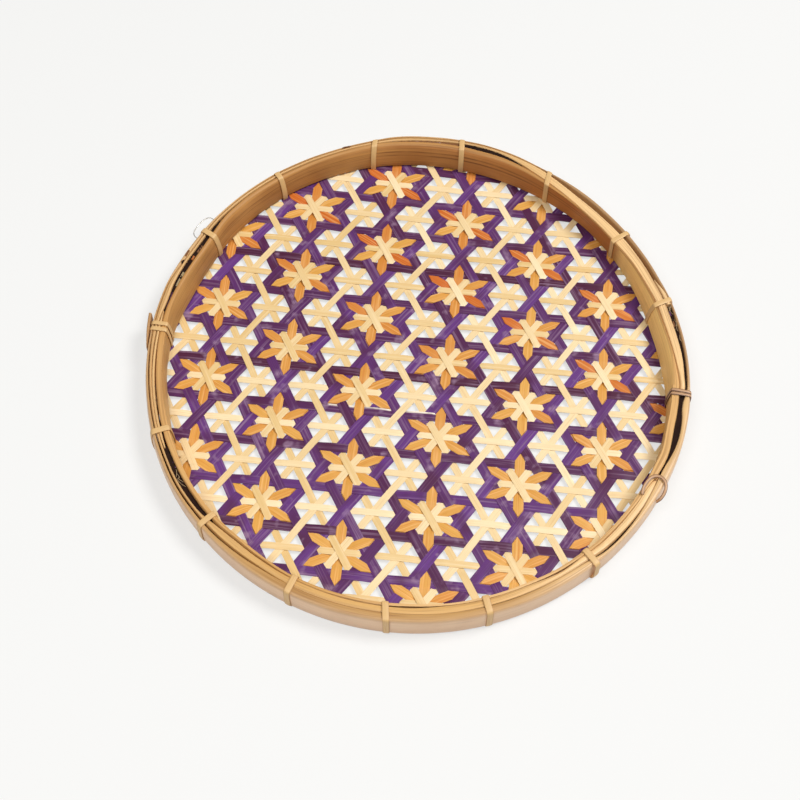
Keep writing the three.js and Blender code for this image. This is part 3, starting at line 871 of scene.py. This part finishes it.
def floor_material(stage):
    """Plain pale floor. Seen by the camera or in a reflection it is partly plain white."""
    paint = Paint("pale_floor")
    paint.plain(stage.floor, 0.9, Specular_IOR_Level=0.1)
    camera = paint.add("ShaderNodeLightPath", output="Is Camera Ray")
    glossy = paint.add("ShaderNodeLightPath", output="Is Glossy Ray")
    seen = paint.add("ShaderNodeMath", {0: camera, 1: glossy}, operation="MAXIMUM")
    share = paint.add("ShaderNodeMath", {0: seen, 1: stage.floor_glow}, operation="MULTIPLY")
    glow = paint.add("ShaderNodeEmission", {"Color": linear("#fafaf9"), "Strength": 1.0})
    both = paint.add("ShaderNodeMixShader", {0: share, 1: paint.shader.outputs[0], 2: glow})
    paint.put(both, paint.tree.nodes["Material Output"].inputs[0])
    return paint.material


# The weave


def places_along(start, pitch):
    """Whole numbers n and values start + n * pitch within the reach."""
    first = math.ceil((-REACH - start) / pitch)
    numbers = range(first, first + int(2 * REACH / pitch))
    return [(n, start + n * pitch) for n in numbers if start + n * pitch <= REACH]


def lattice_rows(start, pitch):
    """Letter, direction, row and offset of every strip of one kind."""
    return [
        (letter, direction, row, offset)
        for letter, direction in DIRECTIONS.items()
        for row, offset in places_along(start, pitch)
    ]


def eased_course(stations, along):
    """Height at each distance along, eased between the stations."""
    at, height = np.array(sorted(stations)).T
    index = np.clip(np.searchsorted(at, along) - 1, 0, len(at) - 2)
    part = np.clip((along - at[index]) / np.maximum(at[index + 1] - at[index], 1e-6), 0, 1)
    eased = part * part * (3 - 2 * part)
    return height[index] + (height[index + 1] - height[index]) * eased


def mirrored(places, course, layer):
    """Stations at these distances to both sides of each place, with heights in millimetres."""
    return [
        (at + side * distance, height * layer)
        for _, at in places
        for distance, height in course
        for side in (1, -1)
    ]


@functools.cache
def star_lattice():
    """Middles of all the stars in the weave's own frame."""
    across = np.array([STAR_PITCH * ROOT3 / 2, STAR_PITCH / 2])
    deep = np.array([0.0, STAR_PITCH])
    count = int(REACH / STRIP_PITCH)
    return np.array([i * across + j * deep for i in range(-count, count) for j in range(-count, count)])


def from_star(along, offset, letter):
    """From the nearest star to a place on a strip, in the weave's own frame."""
    cosine, sine = math.cos(DIRECTIONS[letter]), math.sin(DIRECTIONS[letter])
    place = np.array([along * cosine - offset * sine, along * sine + offset * cosine])
    gaps = place - star_lattice()
    return gaps[np.argmin(np.hypot(*gaps.T))]


def beside_star(along, offset, letter):
    """Whether a crossing on a strip lies beside a star."""
    return np.hypot(*from_star(along, offset, letter)) < 0.8 * STRIP_PITCH


def crossing_lift(along, offset, letter):
    """Crossings half way between two stars lie higher or lower than those beside a star."""
    if beside_star(along, offset, letter):
        return 0.0
    gap = from_star(along, offset, letter)
    return 0.5 if abs(gap[1]) > 3 * abs(gap[0]) else -0.5


def purple_course(offset, letter, layer):
    """Over the strips 60 degrees anticlockwise of it and under those 60 degrees clockwise.

    Between two crossings beside the same star it dips, because an orange strip lies on it there.
    """
    crossings = []
    for _, at in places_along(STRIP_PITCH / 2, STRIP_PITCH):
        along = (at - offset / 2) / (ROOT3 / 2)
        crossings += [(along, 0.0), (-along, 1.0)]
    crossings.sort()
    stations = []
    beside = [beside_star(place, offset, letter) for place, _ in crossings]
    for index, (place, height) in enumerate(crossings):
        height += crossing_lift(place, offset, letter)
        before = index > 0 and beside[index] and beside[index - 1]
        after = index + 1 < len(crossings) and beside[index] and beside[index + 1]
        stations.append((place - (SHORT_HOLD if before else LONG_HOLD), height))
        stations.append((place + (SHORT_HOLD if after else LONG_HOLD), height))
        if after:
            middle = (place + crossings[index + 1][0]) / 2
            stations += [(middle - DIP_HOLD, DIP_HEIGHT), (middle + DIP_HOLD, DIP_HEIGHT)]
    return [(place, height * layer) for place, height in stations]


def cream_course(row, letter, layer):
    """Heights from each star on the row outwards."""
    return mirrored(places_along(row * MIDDLE, 2 * MIDDLE), CREAM_COURSES[letter], layer)


def orange_course(row, letter, layer):
    """Over the purple edges of each star, and under the crossing half way to the next star."""
    course = ((6.0, ORANGE_CENTRE[letter]), *ORANGE_EDGE)
    return mirrored(places_along(star_start(row), STAR_PITCH), course, layer)


def star_start(row):
    """Where the first star is on an orange strip: every other row is half a step further."""
    return 0 if row % 2 == 0 else STAR_PITCH / 2


def petal_rows(row):
    """Places and bends of all the rows of an orange strip, with a V at the end of each petal."""
    found = []
    for _, at in places_along(star_start(row), STAR_PITCH):
        for distance in PETAL_ROWS:
            bend = np.interp(distance, *PETAL_BEND)
            found.append((at + distance, bend))
            if 0 < distance < PETAL_ROWS[-1]:
                found.append((at - distance, -bend))
    places, bends = np.array(found).T
    order = np.argsort(places)
    return places[order], bends[order]


def drift(places):
    """How far the strips lie off the even lattice at these places, in millimetres."""
    held = places * np.minimum(1, DRIFT_REACH / np.linalg.norm(places, axis=-1, keepdims=True)) / 100
    u, v = held[..., 0], held[..., 1]
    terms = np.stack([u**0, u, v, u * u, u * v, v * v, u**3, u * u * v, u * v * v, v**3], -1)
    return np.stack([terms @ DRIFT_ACROSS, terms @ DRIFT_DEEP], -1)


class StripLine:
    """Where a strip's edges run in the mat, from one side of the rim to the other."""

    def __init__(self, direction, offset, width, behind, columns):
        self.turn = np.array([math.cos(direction + WEAVE_TURN), math.sin(direction + WEAVE_TURN)])
        self.side = np.array([-self.turn[1], self.turn[0]])
        self.lateral = offset + columns * width / 2
        reach = np.arange(-REACH, REACH, 0.1)
        places = self.place(reach[:, None], self.lateral)
        degrees = np.degrees(np.arctan2(places[..., 1], places[..., 0]))
        depth = outer_reach(np.radians(degrees)) - np.hypot(places[..., 0], places[..., 1])
        inside = depth > np.interp(degrees, ALL_ROUND, INNER_BACK) - behind
        self.fits = inside.any(0).all()
        self.first = reach[inside.argmax(0)]
        self.last = reach[len(reach) - 1 - inside[::-1].argmax(0)]

    def place(self, along, lateral):
        """Places in the mat at these distances along the line and beside it."""
        along, lateral = np.broadcast_arrays(along, lateral)
        even = (along[..., None] * self.turn + lateral[..., None] * self.side) * SQUEEZE + STAR_PLACE
        return even + drift(even)

    def rows(self, width, columns, bent_rows):
        """Where the rows of points are along the line, and where the course is read for each."""
        if bent_rows is None:
            count = max(int((self.last - self.first).max() / ROW_STEP), 8)
            along = self.first + (self.last - self.first) * np.linspace(0, 1, count)[:, None]
            return along, along
        # Rows so near the rim that they would touch the last one are left out
        places, bends = bent_rows
        kept = (places > self.first.max() + 1) & (places < self.last.min() - 1)
        places, bends = places[kept][:, None], bends[kept][:, None]
        bent = places - ROOT3 * np.abs(columns) * width / 2 * bends
        along = np.clip(bent, self.first + 0.3, self.last - 0.3)
        level = places + 0 * bent
        return [np.concatenate([self.first[None], run, self.last[None]]) for run in (along, level)]


def turned_up(base, uv, sign, top, rng):
    """Rows of points and UV of a strip's end, which turns up behind the inner hoop."""
    edges = Edges(np.degrees(np.arctan2(base[:, 1], base[:, 0])))
    # Where there is room between the slats, the ends are longer and less even
    room = np.clip(edges.inner - edges.lining_back - 0.9, 0, 1.5).min()
    reach = top + 0.6 * room + rng.uniform(-1.8, 0.6) * (1 + 0.3 * room)
    outwards = unit(base[:, :2])
    steps = np.concatenate([TURN_STEPS, np.linspace(2.0, reach - MAT_LEVEL, 5)])
    leans = np.minimum(steps, TURN_STEPS[-1])
    flat = [base[:, :2] + outwards * lean * TURN_LEAN for lean in leans]
    points = [np.concatenate([place, base[:, 2:] + step], 1) for place, step in zip(flat, steps)]
    further = sign * UV_STEP * np.arange(1, len(steps) + 1)
    return np.array(points), uv + grid_uv(further, np.zeros(len(base)))


def woven_strip(direction, offset, course, width, ends, rng, bent_rows=None):
    """One strip of the mat, turned up between the hoops at both ends, or None if it is too short.

    course gives the heights along it, ends is (distance behind the inner hoop's back, top height),
    and bent_rows may give the places of the strip's rows with their bends.
    """
    columns = np.linspace(-1, 1, 3 if bent_rows is None else 5)
    behind, top = ends
    line = StripLine(direction, offset, width, behind, columns)
    if not line.fits or (line.last - line.first).min() < SHORTEST_STRIP:
        return None
    along, level = line.rows(width, columns, bent_rows)
    # The strip lies a little to one side, and wanders in a slow wave
    wander = rng.uniform(-WANDER, WANDER)
    wander = wander + WANDER * np.sin(along / rng.uniform(28, 45) + rng.uniform(0, FULL_TURN))
    height = eased_course(course, level.reshape(-1)).reshape(along.shape)
    height = height + STRIP_CROWN * (1 - columns**2)
    flat = line.place(along, line.lateral + wander)
    points = np.concatenate([flat, (MAT_LEVEL + height)[..., None]], -1)
    uv = np.stack([along, np.broadcast_to(columns * width / 2, along.shape)], -1)
    start, start_uv = turned_up(points[0], uv[0], -1, top, rng)
    end, end_uv = turned_up(points[-1], uv[-1], 1, top, rng)
    points = np.concatenate([start[::-1], points, end])
    uv = np.concatenate([start_uv[::-1], uv, end_uv])
    # Each strip takes its pattern from another place, so that no two look the same
    uv = uv + np.array([rng.uniform(0, 4000), rng.uniform(0, 400)])
    piece = sheet("strip", points, uv)
    mark(piece, across=np.tile(columns, len(points)))
    return piece


class BASKET_OT_purple(bpy.types.Operator):
    """Weave the purple strips, each over and under the others in turn"""

    bl_idname = "basket.purple"
    bl_label = "Purple strips"

    def execute(self, context):
        mat = context.scene.basket_mat
        rng = random.Random(mat.seed)
        layer = mat.strip_thickness / MM + LAYER_GAP
        material = purple_material(mat)
        for letter, direction, row, offset in lattice_rows(STRIP_PITCH / 2, STRIP_PITCH):
            course = purple_course(offset, letter, layer)
            piece = woven_strip(direction, offset, course, mat.purple_width / MM, PURPLE_ENDS, rng)
            if piece is None:
                continue
            number = f"{letter}{row + PURPLE_BEFORE_STAR[letter] + 1:02d}"
            node = f"purple_strip_{number}"
            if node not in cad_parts:
                bpy.data.objects.remove(piece)
                continue
            thicken(piece, mat.strip_thickness)
            low, high = PURPLE_TONES[letter]
            start, end = BARE_EDGES.get(number, (1, 1))
            x, _ = level_places(piece)
            tone = PURPLE_STANDOUTS.get(number, rng.uniform(low, high))
            mark(piece, tone=tone, bare=(x > start) & (x < end))
            piece.name = piece.data.name = f"PurpleStrip_{number}"
            smooth(piece)
            finish_piece(piece, material, [node])
        return {"FINISHED"}


class BASKET_OT_cream(bpy.types.Operator):
    """Weave the natural strips, which cross on top of each star"""

    bl_idname = "basket.cream"
    bl_label = "Natural strips"

    def execute(self, context):
        mat = context.scene.basket_mat
        rng = random.Random(mat.seed + 1)
        layer = mat.strip_thickness / MM + LAYER_GAP
        material = cream_material(mat)
        nets = [[], [], []]
        for letter, direction, row, offset in lattice_rows(0, STRIP_PITCH):
            course = cream_course(row, letter, layer)
            piece = woven_strip(direction, offset, course, mat.cream_width / MM, CREAM_ENDS, rng)
            if piece is not None:
                thicken(piece, mat.strip_thickness)
                mark(piece, tone=rng.uniform(0, 1))
                nets[(row if letter == "a" else -row) % 3].append(piece)
        for index, strips in enumerate(nets):
            piece = join(strips, f"CreamStrips_{index + 1}")
            smooth(piece)
            finish_piece(piece, material, [f"cream_strips_{index + 1}"])
        return {"FINISHED"}


class BASKET_OT_orange(bpy.types.Operator):
    """Weave the orange strips, which show as the petals of each star"""

    bl_idname = "basket.orange"
    bl_label = "Orange strips"

    def execute(self, context):
        mat = context.scene.basket_mat
        rng = random.Random(mat.seed + 2)
        layer = mat.strip_thickness / MM + LAYER_GAP
        width = mat.orange_width / MM
        material = orange_material(mat)
        strips = []
        for letter, direction, row, offset in lattice_rows(0, STAR_PITCH * ROOT3 / 2):
            course = orange_course(row, letter, layer)
            across = direction + math.pi / 2
            piece = woven_strip(across, offset, course, width, ORANGE_ENDS, rng, petal_rows(row))
            if piece is not None:
                thicken(piece, mat.strip_thickness)
                _, y = level_places(piece)
                tone = ORANGE_TONES[letter].get(row, 0.2) + rng.uniform(-0.05, 0.05)
                mark(piece, tone=tone + ORANGE_SLOPES[letter] * y / 100)
                strips.append(piece)
        piece = join(strips, "OrangeStrips")
        smooth(piece)
        finish_piece(piece, material, ["orange_strips"])
        return {"FINISHED"}


# The rim


def bent_slat(name, degrees, section, **marks):
    """A slat bent round the rim.

    section has [row][column] (depth, height) points that run round its cross-section, one row for
    each of the degrees, and every mark is one number or a number for each row, column or point.
    """
    section = np.concatenate([section, section[:, :1]], 1)
    points = on_rim(degrees[:, None], section[..., 0], section[..., 1])
    uv = grid_uv(np.radians(degrees) * RIM_DEEP / 2, distances(section.mean(0)))
    piece = sheet(name, points, uv)
    for mark_name, values in marks.items():
        values = np.broadcast_to(values, (len(section), section.shape[1] - 1))
        mark(piece, **{mark_name: np.concatenate([values, values[:, :1]], 1).reshape(-1)})
    close_up(piece)
    smooth(piece, 50)
    return piece


def stacked(*points):
    """Section points as one array, from (depth, height) pairs that may be numbers or arrays."""
    values = np.broadcast_arrays(*[value for point in points for value in point])
    return np.stack(values, -1).reshape(-1, len(points), 2)


def even_degrees(start, end, per_degree, least):
    """Angles from start to end, about this many in a degree and at least so many in all."""
    return np.linspace(start, end, max(int((end - start) * per_degree), least))


def waver(rng, degrees, size):
    """A slow wave round the rim, which closes on itself."""
    waves = [(count, rng.uniform(0, FULL_TURN), rng.uniform(0.4, 1)) for count in (5, 9, 14, 23, 37)]
    angle = np.radians(degrees)
    return size * sum(part * np.sin(angle * count + phase) / 2 for count, phase, part in waves)


def ring():
    """Angles once round the rim, with the seam under the tie at the front, and the edges there."""
    degrees = np.linspace(RING_START, RING_START + 360, 481)
    return degrees, Edges(degrees)


class BASKET_OT_outer_hoop(bpy.types.Operator):
    """Bend the outer hoop, with a rounded outer face"""

    bl_idname = "basket.outer_hoop"
    bl_label = "Outer hoop"

    def execute(self, context):
        rim = context.scene.basket_rim
        rng = random.Random(rim.seed)
        degrees, edges = ring()
        outer, back, low = edges.outer, edges.outer_back, edges.belly
        # The rounding of the top follows the slat's width, up to a limit, here and on the other slats
        ease = np.minimum(back - outer, 2.4)
        groove = GROOVE(degrees)
        top = RIM_TOP - 0.15 + waver(rng, degrees, 0.12)
        # From the foot up the outer face, over the top and down the back, with each point's zone
        course = (
            (0.0, low + 1.3, 0.5),
            (0.06, low + 0.5, 1.5),
            (0.16, low + 0.1, 3.6),
            (0.3, low, 7.0),
            (0.46, low, 10.5),
            (0.6, 0.7 * low + 0.3 * outer, 14.0),
            (0.7, outer + 0.05 * ease, top - 1.2),
            (0.75, outer + 0.2 * ease, top - 0.35),
            (0.82, outer + 0.42 * ease, top),
            (0.9, back - 0.3 * ease, top),
            (0.94, back - 0.08 * ease, top - 0.3 * groove),
            (1.0, back, top - 0.9 * groove),
            (1.0, back, 0.5),
        )
        piece = bent_slat(
            "OuterHoop", degrees, stacked(*[point for _, *point in course]),
            zone=[zone for zone, *_ in course],
            pale=OUTER_PALE(degrees)[:, None], worn=OUTER_WORN(degrees)[:, None],
        )
        finish_piece(piece, outer_hoop_material(rim), ["outer_hoop"])
        return {"FINISHED"}


class BASKET_OT_lining(bpy.types.Operator):
    """Bend the slat that lines the outer hoop, and the short slats pushed in beside it"""

    bl_idname = "basket.lining"
    bl_label = "Lining slats"

    def execute(self, context):
        rim = context.scene.basket_rim
        rng = random.Random(rim.seed + 1)
        degrees, edges = ring()
        front, back = edges.lining, edges.lining_back
        top = RIM_TOP - 0.1 - LINING_DROP(degrees) + waver(rng, degrees, 0.12)
        ease = 0.25 * np.minimum(back - front, 1.6)
        # Low down the slat makes room for the inner hoop, whose foot lies further out in places
        free = np.minimum(edges.inner - 1.5, edges.inner_foot - 2)
        low_back = np.maximum(front + 0.3, np.minimum(back, free))
        chamfer, brow = top - 0.7 * GROOVE(degrees), top - 0.12 * GROOVE(degrees)
        # From the foot up the front, over the top and down the back, with each point's zone
        course = (
            (0.2, front, 2.0),
            (0.6, front, chamfer),
            (0.85, front + ease, brow),
            (1.0, (front + back) / 2, top),
            (0.85, back - ease, brow),
            (0.6, back, chamfer),
            (0.5, back, top - 1.6),
            (0.3, low_back, top - 3.4),
            (0.2, low_back, 2.0),
        )
        material = lining_material(rim)
        piece = bent_slat(
            "LiningSlat", degrees, stacked(*[point for _, *point in course]),
            zone=[zone for zone, *_ in course],
            pale=LINING_PALE(degrees)[:, None], worn=LINING_WORN(degrees)[:, None],
        )
        finish_piece(piece, material, ["outer_hoop"])

        for name, node, start, end, depths, walls, rises, foot, pale, worn in SHORT_SLATS:
            degrees = even_degrees(start, end, 1.5, 12)
            share = np.linspace(0, 1, len(degrees))
            middle, wall = np.interp(share, *depths), np.interp(share, *walls)
            top = RIM_TOP + np.interp(share, *rises)
            section = stacked(
                (middle - wall / 2, foot), (middle - wall / 2, top - 0.3), (middle - wall / 4, top),
                (middle + wall / 4, top), (middle + wall / 2, top - 0.3), (middle + wall / 2, foot),
            )
            zone = [0.2, 0.7, 1, 1, 0.7, 0.2]
            piece = bent_slat(name, degrees, section, zone=zone, pale=pale, worn=worn)
            finish_piece(piece, material, [node])
        return {"FINISHED"}


class BASKET_OT_inner_hoop(bpy.types.Operator):
    """Bend the inner hoop, which stands on the edge of the mat"""

    bl_idname = "basket.inner_hoop"
    bl_label = "Inner hoop"

    def execute(self, context):
        rim = context.scene.basket_rim
        rng = random.Random(rim.seed + 2)
        degrees, edges = ring()
        back, front, foot = edges.inner, edges.inner_top, edges.inner_foot
        top = RIM_TOP + waver(rng, degrees, 0.15)
        ease = np.minimum(front - back, 2.0)
        groove = GROOVE(degrees)
        shoulder = [(front + share * (foot - front), top - drop) for share, drop in SHOULDER]
        section = stacked(
            (edges.inner_back, INNER_FOOT_HEIGHT), (back, top - 0.7 * groove),
            (back + 0.2 * ease, top - 0.12 * groove), ((back + front) / 2, top),
            *shoulder, (foot, INNER_FOOT_HEIGHT),
        )
        drops = [drop for _, drop in SHOULDER[1:]] + [RIM_TOP - INNER_FOOT_HEIGHT]
        # The bright and brown marks carry painted light and painted shade over the face's own colours
        piece = bent_slat(
            "InnerHoop", degrees, section,
            zone=[0, 0.1, 0.2, 0.3, 0.4] + [inner_zone(drop) for drop in drops],
            pale=INNER_PALE(degrees)[:, None], worn=INNER_WORN(degrees)[:, None],
            bright=INNER_BRIGHT_LIT(degrees)[:, None], brown=INNER_BROWN_SHADE(degrees)[:, None],
            lined=INNER_SHADE_LINES(degrees)[:, None],
        )
        finish_piece(piece, inner_hoop_material(rim), ["inner_hoop"])
        return {"FINISHED"}


# The ties, the ends of the strips and the wire


def band(name, centre, side, width, thickness, closed):
    """A flat band along centre points, as wide as given along the side directions."""
    if closed:
        centre, side = np.concatenate([centre, centre[:1]]), np.concatenate([side, side[:1]])
    tangent = np.gradient(centre, axis=0)
    if closed:
        tangent[0] = tangent[-1] = centre[1] - centre[-2]
    tangent = unit(tangent)
    side = unit(side - (side * tangent).sum(1, keepdims=True) * tangent)
    outwards = np.cross(tangent, side)
    columns = np.array([-1, -0.5, 0, 0.5, 1])
    crown = BAND_CROWN * (1 - columns**2)
    points = centre[:, None] + side[:, None] * (columns * width / 2)[:, None]
    points = points + outwards[:, None] * crown[None, :, None]
    piece = sheet(name, points, grid_uv(distances(centre), columns * width / 2))
    if closed:
        close_up(piece, caps=False)
    thicken(piece, thickness * MM)
    smooth(piece, 50)
    return piece


def rod(name, run, radius):
    """A round rod along a level run of points."""
    side = unit(np.cross(np.gradient(run, axis=0), (0.0, 0.0, 1.0)))
    turn = np.linspace(0, 2 * math.pi, 9)
    spokes = side[:, None] * np.cos(turn)[:, None] + np.array([0, 0, 1]) * np.sin(turn)[:, None]
    piece = sheet(name, run[:, None] + radius * spokes, grid_uv(distances(run), radius * turn))
    close_up(piece)
    smooth(piece, 60)
    return piece


def tie_loop(degrees, off):
    """Depths and heights of a tie's middle line, this much off the outer face."""
    edge = Edges(np.array([degrees]))
    outer, belly, inner_top, foot = edge.outer[0], edge.belly[0], edge.inner_top[0], edge.inner_foot[0]
    clear = TIE_CLEARANCE
    shoulder = [
        (inner_top + share * (foot - inner_top) + clear + 0.12, RIM_TOP - drop + clear * (1 - share))
        for share, drop in SHOULDER[:0:-1]
    ]
    # Up the inner hoop's face, over the rim's top, down the outer face and back under the rim
    return rounded_loop(np.array([
        (foot + clear, 1.4),
        *shoulder,
        (inner_top + 0.2, RIM_TOP + 0.1 + clear),
        ((outer + inner_top) / 2, RIM_TOP + 0.12 + clear),
        (outer + 0.5 - off, RIM_TOP + clear),
        (outer - clear - off, RIM_TOP - 1.2),
        (belly - clear - off, 10.5),
        (belly - clear - off, 3.6),
        (belly + 0.7 - clear, 1.0),
        (belly + 2.2, 0.22),
        ((belly + foot) / 2, 0.25),
        (foot - 1.0, 0.5),
    ]))


class BASKET_OT_ties(bpy.types.Operator):
    """Bind the rim with split rattan"""

    bl_idname = "basket.ties"
    bl_label = "Ties"

    def execute(self, context):
        rim = context.scene.basket_rim
        thickness = rim.tie_thickness / MM
        # The natural ties' darker edges are partly painted shadow lines
        natural = rattan_material("split_rattan", rim.tie, rim.tie_edge_shade, 1.2 * MM)
        dark = rattan_material("stained_rattan", rim.dark_tie, rim.dark_tie_edge, 0.22 * MM)
        for number, bands in TIES.items():
            pieces = []
            for at, share, lean, off in bands:
                depth, height = tie_loop(at, off).T
                degrees = at + lean * (depth - depth.min()) / np.ptp(depth) - lean / 2
                centre = on_rim(degrees, depth, height)
                angle = np.radians(degrees)
                side = np.stack([-np.sin(angle), np.cos(angle), 0 * angle], -1)
                pieces.append(band("tie", centre, side, share * rim.tie_width / MM, thickness, True))
            piece = join(pieces, f"Tie_{number:02d}")
            finish_piece(piece, dark if number in DARK_TIES else natural, [f"tie_{number:02d}"])

        run = rounded_run(on_rim(*np.array(CURLED_TIE).T))
        side = np.cross((0.0, 0.0, 1.0), np.gradient(run, axis=0))
        piece = band(f"Tie_{CURLED_NUMBER}", run, side, CURLED_WIDTH, thickness, False)
        finish_piece(piece, dark, [f"tie_{CURLED_NUMBER}"])
        return {"FINISHED"}


def strip_ends(rng):
    """The strip ends that show in the gaps of the rim, as lists of pieces by kind."""
    ends = {kind: [] for kind in ("Brown", "Dark", "Dyed", "Orange", "Olive")}
    for kind, at, depth, wall, width, height in LOOSE_ENDS:
        degrees = at + np.linspace(-1, 1, 5) * math.degrees(width / RIM_DEEP)
        height = height + np.array([rng.uniform(-0.3, 0.2) for _ in degrees])
        near, far = depth - wall / 2, depth + wall / 2
        section = stacked((near, 6.0), (near, height), (far, height - 0.1), (far, 6.0))
        ends[kind].append(bent_slat("end", degrees, section, tone=rng.uniform(0, 1)))
    for kind, start, end, near, far, height in PACKED_ENDS:
        degrees = even_degrees(start, end, 3, 8)
        edges = Edges(degrees)
        near, far = getattr(edges, near) + FILL_CLEARANCE, getattr(edges, far) - FILL_CLEARANCE
        tops = [height + np.array([rng.uniform(-0.5, 0.4) for _ in degrees]) for _ in range(3)]
        section = stacked(
            (near, 5.0), (near, tops[0]), ((near + far) / 2, tops[1]), (far, tops[2]), (far, 5.0),
        )
        ends[kind].append(bent_slat("end", degrees, section, tone=rng.uniform(0, 1)))
    return ends


def loose_fibres(rng):
    """Thin fibres that lie across the gaps of the rim."""
    fibres = []
    for start, end, gap, count in FIBRES:
        for _ in range(count):
            first = rng.uniform(start, end)
            edge = Edges(np.array([first]))
            low, high = (edge.outer_back, edge.lining) if gap == 1 else (edge.lining_back, edge.inner)
            corners = np.array([
                (
                    first + step * rng.uniform(0.4, 1.1),
                    rng.uniform(low[0], high[0]),
                    RIM_TOP + rng.uniform(-2.2, 0.3),
                )
                for step in range(4)
            ])
            run = rounded_run(on_rim(*corners.T), 2)
            side = np.tile((0.0, 0.0, 1.0), (len(run), 1))
            fibres.append(band("fibre", run, side, rng.uniform(0.16, 0.3), 0.12, False))
    return fibres


class BASKET_OT_trimmings(bpy.types.Operator):
    """Add the strip ends and fibres that show in the gaps, and the wire loop"""

    bl_idname = "basket.trimmings"
    bl_label = "Strip ends and wire"

    def execute(self, context):
        rim = context.scene.basket_rim
        rng = random.Random(rim.seed + 3)
        ends = strip_ends(rng)
        materials = {
            # Near black: dark strip ends with the shade of the narrow gaps painted into them
            "Dark": speckled_material("dark_dyed_ends", 3 * MM, "#1a0f0b", "#33211a", 0.9, 0.1),
            "Dyed": bpy.data.materials["dyed_purple_bamboo"],
        }
        for kind, shade in STRIP_END_COLOURS.items():
            name = f"{kind.lower()}_ends"
            materials[kind] = rattan_material(name, linear(shade), rim.dark, PAST_EDGE)
        for kind, pieces in ends.items():
            piece = join(pieces, f"StripEnds{kind}")
            finish_piece(piece, materials[kind], ["strip_ends_band"])

        piece = join(loose_fibres(rng), "LooseFibres")
        material = speckled_material("loose_fibres", 5 * MM, "#c9b088", "#8f7352", 0.6)
        finish_piece(piece, material, ["strip_ends_band"])

        degrees, depth = np.array(WIRE_LOOP).T
        run = rounded_run(on_rim(degrees, depth, WIRE_LEVEL))
        finish_piece(rod("HangingLoop", run, WIRE_RADIUS), wire_material(), ["hanging_loop"])
        return {"FINISHED"}


# The stage and the panel


class BASKET_OT_stage(bpy.types.Operator):
    """Set the camera, the lamps, the floor and the surroundings"""

    bl_idname = "basket.stage"
    bl_label = "Stage"

    def execute(self, context):
        stage = context.scene.basket_stage
        bpy.ops.object.select_all(action="DESELECT")
        bpy.ops.object.camera_add(location=CAMERA_PLACE, rotation=(math.radians(CAMERA_TILT), 0, 0))
        camera = bpy.context.object
        camera.data.lens = CAMERA_LENS
        camera.data.sensor_width = 36
        camera.data.clip_start = 0.01
        context.scene.camera = camera

        bpy.ops.mesh.primitive_plane_add(size=FLOOR_SIZE)
        floor = bpy.context.object
        floor.name = "Floor"
        floor.data.materials.append(floor_material(stage))

        for name, place, size, power in LAMPS:
            bpy.ops.object.light_add(type="AREA", location=place)
            lamp = bpy.context.object
            lamp.name = name
            lamp.data.shape = "DISK"
            lamp.data.size = size
            lamp.data.energy = getattr(stage, power)
            lamp.rotation_euler = (-Vector(place)).to_track_quat("-Z", "Y").to_euler()

        world = bpy.data.worlds.new("White surroundings")
        context.scene.world = world
        world.use_nodes = True
        # The camera sees the surroundings beyond the floor as plain white
        nodes = Nodes(world.node_tree)
        seen = nodes.add("ShaderNodeLightPath", output="Is Camera Ray")
        seen = nodes.add("ShaderNodeMapRange", {0: seen, 3: stage.world_strength, 4: SEEN_STRENGTH})
        background = world.node_tree.nodes["Background"]
        nodes.put((1, 1, 1), background.inputs["Color"])
        nodes.put(seen, background.inputs["Strength"])
        context.scene.view_settings.view_transform = "Standard"
        return {"FINISHED"}


class BASKET_PT_panel(bpy.types.Panel):
    """All the settings, and a button for each kind of piece"""

    bl_idname = "BASKET_PT_panel"
    bl_label = "Star Weave Basket"
    bl_space_type = "VIEW_3D"
    bl_region_type = "UI"
    bl_category = "Basket"

    def draw(self, context):
        for group in SETTINGS:
            box = self.layout.box()
            for name in SETTINGS[group].__annotations__:
                box.prop(getattr(context.scene, group), name)
        for operator in OPERATORS:
            self.layout.operator(operator.bl_idname)


SETTINGS = {"basket_mat": BASKET_PG_mat, "basket_rim": BASKET_PG_rim, "basket_stage": BASKET_PG_stage}
OPERATORS = (
    BASKET_OT_stage,
    BASKET_OT_purple,
    BASKET_OT_cream,
    BASKET_OT_orange,
    BASKET_OT_outer_hoop,
    BASKET_OT_lining,
    BASKET_OT_inner_hoop,
    BASKET_OT_ties,
    BASKET_OT_trimmings,
)
CLASSES = (*SETTINGS.values(), *OPERATORS, BASKET_PT_panel)


def register():
    """Register the classes, and give every scene their settings."""
    for item in CLASSES:
        bpy.utils.register_class(item)
    for name, group in SETTINGS.items():
        setattr(bpy.types.Scene, name, PointerProperty(type=group))


def unregister():
    """Take the settings and the classes away again."""
    for name in SETTINGS:
        delattr(bpy.types.Scene, name)
    for item in reversed(CLASSES):
        bpy.utils.unregister_class(item)


def main():
    """Make everything in turn."""
    register()
    for operator in OPERATORS:
        group, name = operator.bl_idname.split(".")
        getattr(getattr(bpy.ops, group), name)()


if __name__ == "__main__":
    main()
